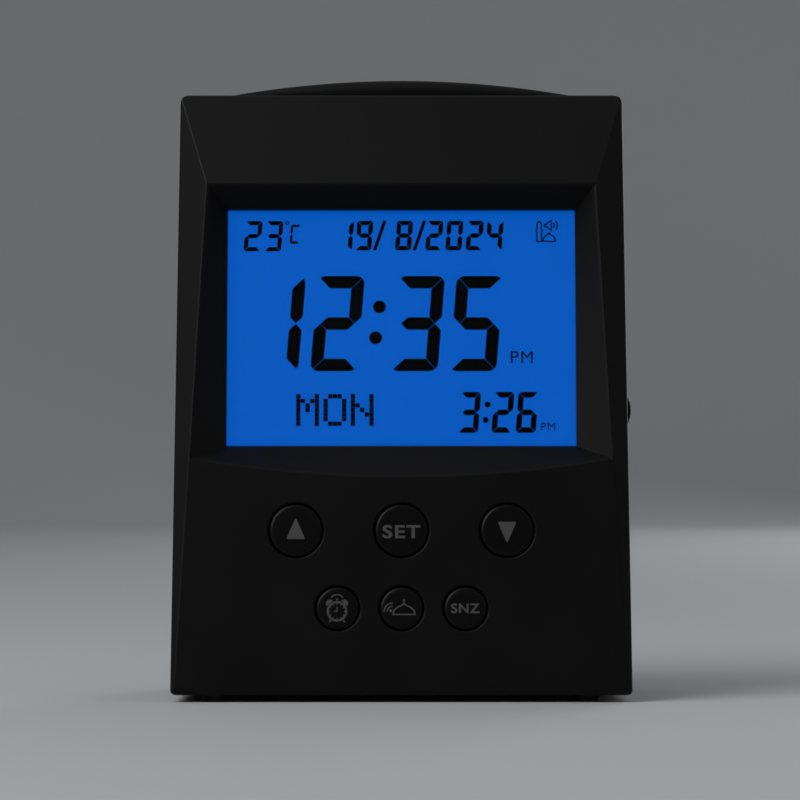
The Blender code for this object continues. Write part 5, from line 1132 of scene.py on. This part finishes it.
height = BAR_POST_FOOT - GAP - board_seat
bm = lathed(rounded([(0, height, 0), (LIGHT_DOME_TOP, height, LIGHT_DOME_ROUND),
                     (LIGHT_DOME_FOOT, LIGHT_DOME_SHEET, LIGHT_DOME_ROUND),
                     (LIGHT_DOME_RADIUS, LIGHT_DOME_SHEET, LIGHT_DOME_ROUND), (LIGHT_DOME_RADIUS, 0, 0),
                     (0, 0, 0)]))
bm.transform(Matrix.Translation((0, BAR_Y, board_seat)))
give_way(piece_of("light_dome_rubber", bm, KEY_RUBBER), "light_dome")
root = Vector((BAR_SPRING_WIRE, 0, 0))
tip = Vector((BAR_FLANGE_FOOT - GAP - board_seat - BAR_SPRING_WIRE, 0, 0))
for x, end in ((-BAR_SEAT_X, "left"), (BAR_SEAT_X, "right")):
    stand = Matrix.Translation((x, BAR_Y, board_seat)) @ Matrix.Rotation(-math.pi / 2, 4, "Y")
    bm = wound_spring(root, tip, BAR_SPRING_RADIUS, BAR_SPRING_RADIUS, BAR_SPRING_WIRE, stand)
    give_way(piece_of(f"bar_spring_{end}_coil", bm, STEEL), f"bar_spring_{end}")


# Volume wheel: a matt black thumb wheel on its control, with grooves moulded round its rim.
# It lies in a slot in the right side, and only its rim stands out.
WHEEL_THICK = 2.6
WHEEL_TEETH = 48
WHEEL_TOOTH = 0.15
WHEEL_CHAMFER = 0.3
WHEEL_BORE = 1.8
WHEEL_HUB = 4.2
WHEEL_DISH = 0.5
WHEEL_RIM = 1.3                   # width of its flat rim, before the dish
WHEEL_SLOPE = 0.3                 # of the dish's two sides
TOOTH_STEPS = 8
WHEEL_PLASTIC = moulded("wheel_plastic", (0.0014, 0.0014, 0.0015), (0.0024, 0.0024, 0.0026), (0.45, 0.6),
                        4.0, 0.008, rubbed=(0.006, 0.006, 0.006), specular=0.15)


def wheel_ring(radius, tooth, height):
    """A ring of the wheel, its rim grooved where a tooth's depth is given."""
    ring = []
    count = WHEEL_TEETH * TOOTH_STEPS
    for i in range(count):
        turn = math.tau * i / count
        dip = tooth * (0.5 - 0.5 * math.cos(WHEEL_TEETH * turn)) ** 3
        ring.append(((radius - dip) * math.cos(turn), (radius - dip) * math.sin(turn), height))
    return ring


top_z = WHEEL_THICK / 2
dish_z = top_z - WHEEL_DISH
rim = WHEEL_RADIUS - WHEEL_CHAMFER
wheel = lofted([wheel_ring(radius, tooth, height) for radius, tooth, height in (
    (rim, WHEEL_TOOTH / 2, -top_z), (WHEEL_RADIUS, WHEEL_TOOTH, -top_z + WHEEL_CHAMFER),
    (WHEEL_RADIUS, WHEEL_TOOTH, top_z - WHEEL_CHAMFER), (rim, WHEEL_TOOTH / 2, top_z),
    (WHEEL_RADIUS - WHEEL_RIM, 0, top_z), (WHEEL_RADIUS - WHEEL_RIM - WHEEL_SLOPE, 0, dish_z),
    (WHEEL_HUB + WHEEL_SLOPE, 0, dish_z), (WHEEL_HUB, 0, top_z), (WHEEL_BORE, 0, top_z),
    (WHEEL_BORE, 0, -top_z))], at_face(WHEEL_X, WHEEL_W + top_z, WHEEL_V, INTO_CASE), closed=True)
dress(piece_of("volume_thumb_wheel", wheel, WHEEL_PLASTIC), "volume_wheel", "volume_wheel")


# Feet: four black rubber buttons pressed into seats in the bottom wall, each with a groove
# round its middle.
FOOT_RADIUS = 3.8
FOOT_HEIGHT = 2.6
FOOT_WAIST = 3.55                 # radius in its groove
FOOT_RUBBER = moulded("foot_rubber", (0.003, 0.003, 0.003), (0.006, 0.006, 0.006), (0.45, 0.6), 5.0, 0.015,
                      specular=0.35)
for name, spot in FEET.items():
    foot = lathed(rounded([
        (0, FOOT_HEIGHT, 0), (FOOT_RADIUS, FOOT_HEIGHT, 0.15), (FOOT_RADIUS, 1.5, 0.15),
        (FOOT_WAIST, 1.3, 0.1), (FOOT_WAIST, 1.1, 0.1), (FOOT_RADIUS, 0.9, 0.15), (FOOT_RADIUS, 0, 0.35),
        (0, 0, 0)]))
    foot.transform(Matrix.Translation((spot.x, spot.y, 0)))
    dress(piece_of(name + "_rubber", foot, FOOT_RUBBER), "case", name)


# Battery door: a flat moulded plate with two hooks at its foot and a ribbed grip for a
# fingertip at its head. It tips out about its lower edge.
GRIP_HALF = 7
GRIP_HEIGHT = 8
GRIP_DEPTH = 0.8
GRIP_INSET = 3
GRIP_RIDGES = 3
GRIP_ROUND = 0.35
DOOR_TOP = DOOR_FOOT + 2 * DOOR_RISE
DOOR_CORNER = 1
DOOR_EDGE = 0.35                  # rounding of its outer edge
DOOR_EDGE_STEPS = 4
sections = [(0, DOOR_THICK)]
for i in range(DOOR_EDGE_STEPS + 1):
    bend = math.pi / 2 * i / DOOR_EDGE_STEPS
    sections.append((DOOR_EDGE * (1 - math.cos(bend)), DOOR_EDGE * (1 - math.sin(bend))))
door = piece_of("battery_cover", lofted([
    [(x, -d, h) for x, h in rounded(corners_of(DOOR_HALF - inset, DOOR_FOOT + inset, DOOR_TOP - inset,
                                               DOOR_CORNER), steps=6)]
    for inset, d in sections], REAR), CASE_PLASTIC)
cut(door, boxes([((x - HOOK_WIDTH / 2, -DOOR_THICK, DOOR_FOOT - HOOK_LENGTH),
                  (x + HOOK_WIDTH / 2, -HOOK_SKIN, DOOR_FOOT + HOOK_LENGTH)) for x in HOOKS], REAR), "UNION")
bm = bmesh.new()
ridge = GRIP_HEIGHT / (2 * GRIP_RIDGES + 1)
for i in range(GRIP_RIDGES + 1):
    start = DOOR_TOP - GRIP_INSET - GRIP_HEIGHT + 2 * i * ridge
    groove = rounded([(0, start, 0), (0, start + ridge, 0), (-GRIP_DEPTH, start + ridge, GRIP_ROUND),
                      (-GRIP_DEPTH, start, GRIP_ROUND)], steps=4)
    add_loft(bm, [[(x, y + (OVERRUN if y == 0 else 0), z) for y, z in groove]
                  for x in (-GRIP_HALF, GRIP_HALF)], REAR)
cut(door, bm)
dress(door, "battery_door", "battery_door")


# Battery cells: three standard cells, each a steel can in a plain printed sleeve with a
# copper-coloured band at the button end. They lie across the compartment in turn.
CELL_RADIUS = 7.1
CELL_LENGTH = 50.2
CELL_NUB_RADIUS = 2.7
CELL_BODY = CELL_LENGTH - 1.2
CELL_ROUND = 0.8
CELL_NUB_ROUND = 0.3
CELL_BAND_FOOT = 0.74 * CELL_BODY
CELL_BAND_TOP = 0.97 * CELL_BODY
CELL_BASE_X = -22.2
CELL_D = 10
CELL_HEIGHTS = [BAY_MIDDLE_H + up for up in (-15.2, 0, 15.2)]
CELL_SLEEVE = moulded("cell_sleeve", (0.035, 0.085, 0.22), (0.05, 0.12, 0.28), (0.25, 0.35), 2.0, 0.003)
CELL_BAND = moulded("cell_band", (0.36, 0.17, 0.06), (0.45, 0.22, 0.08), (0.3, 0.4), 2.0, 0.003, metallic=0.8)
for number, (way, height) in enumerate(zip((1, -1, 1), CELL_HEIGHTS), 1):
    bm = lathed(rounded([
        (0, 0, 0), (CELL_RADIUS, 0, CELL_ROUND), (CELL_RADIUS, CELL_BAND_FOOT, 0),
        (CELL_RADIUS, CELL_BAND_TOP, 0), (CELL_RADIUS, CELL_BODY, CELL_ROUND),
        (CELL_NUB_RADIUS, CELL_BODY, CELL_NUB_ROUND), (CELL_NUB_RADIUS, CELL_LENGTH, CELL_NUB_ROUND),
        (0, CELL_LENGTH, 0)]))
    for face in bm.faces:
        middle = face.calc_center_median()
        if middle.xy.length > CELL_RADIUS - CELL_ROUND / 3:
            face.material_index = 2 if CELL_BAND_FOOT < middle.z < CELL_BAND_TOP else 1
    bm.transform(REAR @ Matrix.Translation((way * CELL_BASE_X, -CELL_D, height))
                 @ Matrix.Rotation(way * math.pi / 2, 4, "Y"))
    cell = piece_of(f"cell_{number}", bm, STEEL)
    cell.data.materials.append(CELL_SLEEVE)
    cell.data.materials.append(CELL_BAND)
    dress(cell, "case", f"battery_cell_{number}")

# Contacts: plated plates at the ends of the compartment, each with a cone spring for the
# cell whose flat end faces it.
CONTACT_THICK = 0.4
CONTACT_REACH = 5
CONTACT_ROUND = 1.2
SPRING_WIRE = 0.4
SPRING_ROOT_RADIUS = 4.2
SPRING_TIP_RADIUS = 2.4
CONTACTS = [
    # node, side, lowest cell, highest cell, cell of the spring
    ("contact_positive", 1, 0, 0, None),
    ("contact_left_pair", -1, 0, 1, 0),
    ("contact_right_pair", 1, 1, 2, 1),
    ("contact_negative", -1, 2, 2, 2),
]
for node, side, low_cell, high_cell, spring_cell in CONTACTS:
    foot, top = CELL_HEIGHTS[low_cell] - CONTACT_REACH, CELL_HEIGHTS[high_cell] + CONTACT_REACH
    outer_x = side * (BAY_HALF - GAP)
    plate_x = outer_x - side * CONTACT_THICK
    outline = rounded(corners_of(CONTACT_REACH, foot, top, CONTACT_ROUND))
    contact = piece_of(node + "_plate", lofted([[(x, y - CELL_D, z) for y, z in outline]
                                                for x in (plate_x, outer_x)], REAR), STEEL)
    if spring_cell is not None:
        height = CELL_HEIGHTS[spring_cell]
        root = Vector((plate_x + side * SPRING_WIRE / 3, -CELL_D, height))
        tip = Vector((-side * (CELL_BASE_X - GAP - SPRING_WIRE), -CELL_D, height))
        cone = wound_spring(root, tip, SPRING_ROOT_RADIUS, SPRING_TIP_RADIUS, SPRING_WIRE, REAR)
        cut(contact, cone, "UNION")
    dress(contact, "case", node)


# Speaker: a pressed steel basket with its magnet, a paper cone with a rolled edge, and a
# ring of foam between it and the rear wall.
SPEAKER_FRONT_D = 3.8
SPEAKER_END_D = 12.7
SPEAKER_INNER = 21.6
SPEAKER_SKIN = 1
SPEAKER_BACK_RADIUS = 14.5
SPEAKER_BORE_RADIUS = 9
MAGNET_RADIUS = 13
MAGNET_END_D = 18.5
POLE_RADIUS = 6
POLE_END_D = 10.2
CONE_EDGE = 21.3
CONE_ROLL_RADIUS = 17.6           # where the cone meets its rolled edge
CONE_ROLL_HEIGHT = 1
CONE_CAP_RADIUS = 7.5
CONE_FOOT_D = 4
CONE_DEEP_D = 8.2
CONE_CAP_D = 6.1
CONE_THICK = 0.35
CONE_STEPS = 8                    # along its cap, and along its slope
CONE_ROLL_STEPS = 10
CONE_SAG = 0.1                    # of its slope, as a share of its depth
SPEAKER = REAR @ Matrix.Translation((0, 0, SPEAKER_H)) @ OUT_OF_FACE
PRESSING_ROUND = 0.3
FOAM = moulded("foam", (0.02, 0.02, 0.021), (0.035, 0.035, 0.037), (0.85, 0.95), 2.5, 0.25, specular=0.1)
MAGNET_STEEL = moulded("magnet_steel", (0.22, 0.22, 0.24), (0.3, 0.3, 0.32), (0.35, 0.5), 4.0, 0.006,
                       metallic=1.0)
CONE_PAPER = moulded("cone_paper", (0.014, 0.014, 0.014), (0.024, 0.024, 0.023), (0.8, 0.9), 1.4, 0.08,
                     specular=0.15)


def turned(name, node, finish, corners, closed=False):
    """A round piece of the speaker, from corners (radius, depth, share of their rounding)."""
    bm = lathed(rounded([(radius, d, share * PRESSING_ROUND) for radius, d, share in corners]), closed=closed)
    bm.transform(SPEAKER)
    dress(piece_of(name, bm, finish), "case", node)


turned("gasket_ring", "speaker_gasket", FOAM, [
    (SPEAKER_INNER, WALL + GAP, 1), (SPEAKER_RADIUS, WALL + GAP, 1),
    (SPEAKER_RADIUS, SPEAKER_FRONT_D - GAP, 1), (SPEAKER_INNER, SPEAKER_FRONT_D - GAP, 1)], closed=True)
turned("speaker_basket", "speaker_frame", STEEL, [
    (SPEAKER_BORE_RADIUS, SPEAKER_END_D, 0), (SPEAKER_BACK_RADIUS, SPEAKER_END_D, 3),
    (SPEAKER_INNER + SPEAKER_SKIN, SPEAKER_FLANGE_BACK_D, 1), (SPEAKER_RADIUS, SPEAKER_FLANGE_BACK_D, 1),
    (SPEAKER_RADIUS, SPEAKER_FRONT_D, 1), (SPEAKER_INNER, SPEAKER_FRONT_D, 1),
    (SPEAKER_INNER, SPEAKER_FLANGE_BACK_D, 1),
    (SPEAKER_BACK_RADIUS - SPEAKER_SKIN, SPEAKER_END_D - SPEAKER_SKIN, 1),
    (SPEAKER_BORE_RADIUS, SPEAKER_END_D - SPEAKER_SKIN, 0)], closed=True)
turned("magnet_pot", "speaker_magnet", MAGNET_STEEL, [
    (0, MAGNET_END_D, 0), (MAGNET_RADIUS, MAGNET_END_D, 2), (MAGNET_RADIUS, SPEAKER_END_D + GAP, 1),
    (POLE_RADIUS, SPEAKER_END_D + GAP, 0), (POLE_RADIUS, POLE_END_D, 1), (0, POLE_END_D, 0)])
cone = []
for share in (i / CONE_STEPS for i in range(CONE_STEPS + 1)):
    drop = (CONE_DEEP_D - CONE_CAP_D) * math.cos(math.pi / 2 * share)
    cone.append((CONE_CAP_RADIUS * share, CONE_DEEP_D - drop, 0))
for share in (i / CONE_STEPS for i in range(1, CONE_STEPS + 1)):
    sag = CONE_SAG * math.sin(math.pi * share)
    cone.append((CONE_CAP_RADIUS + (CONE_ROLL_RADIUS - CONE_CAP_RADIUS) * share,
                 CONE_DEEP_D - (CONE_DEEP_D - CONE_FOOT_D) * (share + sag), 0))
for share in (i / CONE_ROLL_STEPS for i in range(1, CONE_ROLL_STEPS + 1)):
    cone.append((CONE_ROLL_RADIUS + (CONE_EDGE - CONE_ROLL_RADIUS) * share,
                 CONE_FOOT_D - CONE_ROLL_HEIGHT * math.sin(math.pi * share), 0))
turned("paper_cone", "speaker_cone", CONE_PAPER,
       cone + [(radius, d + CONE_THICK, 0) for radius, d, _ in reversed(cone)])


# Screws: plated, with a pan head, a cross recess and a rolled thread. Four hold the shells,
# four the main board, and one the volume wheel.
THREAD_PITCH = 0.8
THREAD_DEPTH = 0.22
THREAD_SHARES = (0.35, 0.85)      # of the pitch, where a thread's root and crest lie
SCREW_STEPS = 48
HEAD_ANGLES = (25, 40, 52, 63, 72, 80, 90)
HEAD_EDGE_SHARE = 0.35            # of the head's height, where its dome starts
CROSS_LONG_SHARE = 0.62           # half of a slot's length, of the head's radius
CROSS_THIN_SHARE = 0.13
SCREW_SETS = [
    # node, places, depth of the head's underside, shank radius, length, head radius, head height
    ("case_screw_{}", CASE_SCREWS, 25.95, 1.45, 12, 2.7, 2.2),
    ("board_screw_{}", BOARD_POSTS, 18.1, 1.1, 8, 2.2, 1.5),
    ("wheel_screw", [(WHEEL_X, WHEEL_V)], 22.6, 0.8, 2.8, 2.6, 1.1),
]
for node, places, w, shank, length, head, height in SCREW_SETS:
    profile = [(0, height)]
    for bend in (math.radians(angle) for angle in HEAD_ANGLES):
        rise = HEAD_EDGE_SHARE + (1 - HEAD_EDGE_SHARE) * math.cos(bend)
        profile.append((head * math.sin(bend), height * rise))
    profile += [(head, 0), (shank, 0)]
    for i in range(int((length - shank) / THREAD_PITCH)):
        root_z, crest_z = (-THREAD_PITCH * (i + share) for share in THREAD_SHARES)
        profile += [(shank - THREAD_DEPTH, root_z), (shank, crest_z)]
    profile += [(shank / 3, -length), (0, -length)]
    long, thin = head * CROSS_LONG_SHARE, head * CROSS_THIN_SHARE
    for number, (x, v) in enumerate(places, 1):
        name = node.format(number)
        screw = piece_of(name + "_turned", lathed(profile, SCREW_STEPS), STEEL)
        for across, along in ((long, thin), (thin, long)):
            cut(screw, boxes([((-across, -along, height * HEAD_EDGE_SHARE), (across, along, 2 * height))]))
        screw.data.transform(Matrix.Scale(MM, 4) @ at_face(x, w, v, INTO_CASE) @ Matrix.Scale(1 / MM, 4))
        dress(screw, "case", name)


# Boards: glass-fibre boards, green lacquer over copper areas that thin lines part. They
# carry a potted chip, a sound chip, a crystal, a capacitor and a temperature sensor.
board_green, tree, shader = new_finish("board_green")
spot = millimetres(tree)
copper = wire(tree, "TexVoronoi", "Distance", {"Vector": spot, "Scale": 0.22}, feature="DISTANCE_TO_EDGE")
area = ranged(tree, copper, 0.02, 0.05, 0, 1)
lacquer = blended(tree, noise(tree, spot, 1.8), (0.014, 0.12, 0.045), (0.022, 0.17, 0.062))
feed(tree, shader, {"Base Color": blended(tree, area, (0.008, 0.07, 0.028), lacquer),
                    "Normal": relief(tree, area, 0.04), "Roughness": 0.3})
paint(board_green, "main_board", "key_board", "light_board")
RESIN = moulded("resin_black", (0.006, 0.006, 0.006), (0.011, 0.011, 0.011), (0.3, 0.45), 2.0, 0.01)
paint(RESIN, "clock_chip", "sound_chip", "temperature_sensor", "volume_pot")
paint(STEEL, "crystal")
paint(CELL_SLEEVE, "board_capacitor")

# Ribbon and leads: the ribbon between the boards has a line for each core, and each lead is
# one soft sleeve round its wires.
paint(banded("ribbon_grey", (0.22, 0.22, 0.22), (0.36, 0.36, 0.36), 1.0, 0.5), "key_ribbon")
paint(moulded("lead_red", (0.4, 0.012, 0.012), (0.52, 0.02, 0.02), (0.35, 0.5), 2.0, 0.006), "speaker_lead")
paint(moulded("lead_grey", (0.25, 0.25, 0.25), (0.33, 0.33, 0.33), (0.35, 0.5), 2.0, 0.006), "battery_lead")
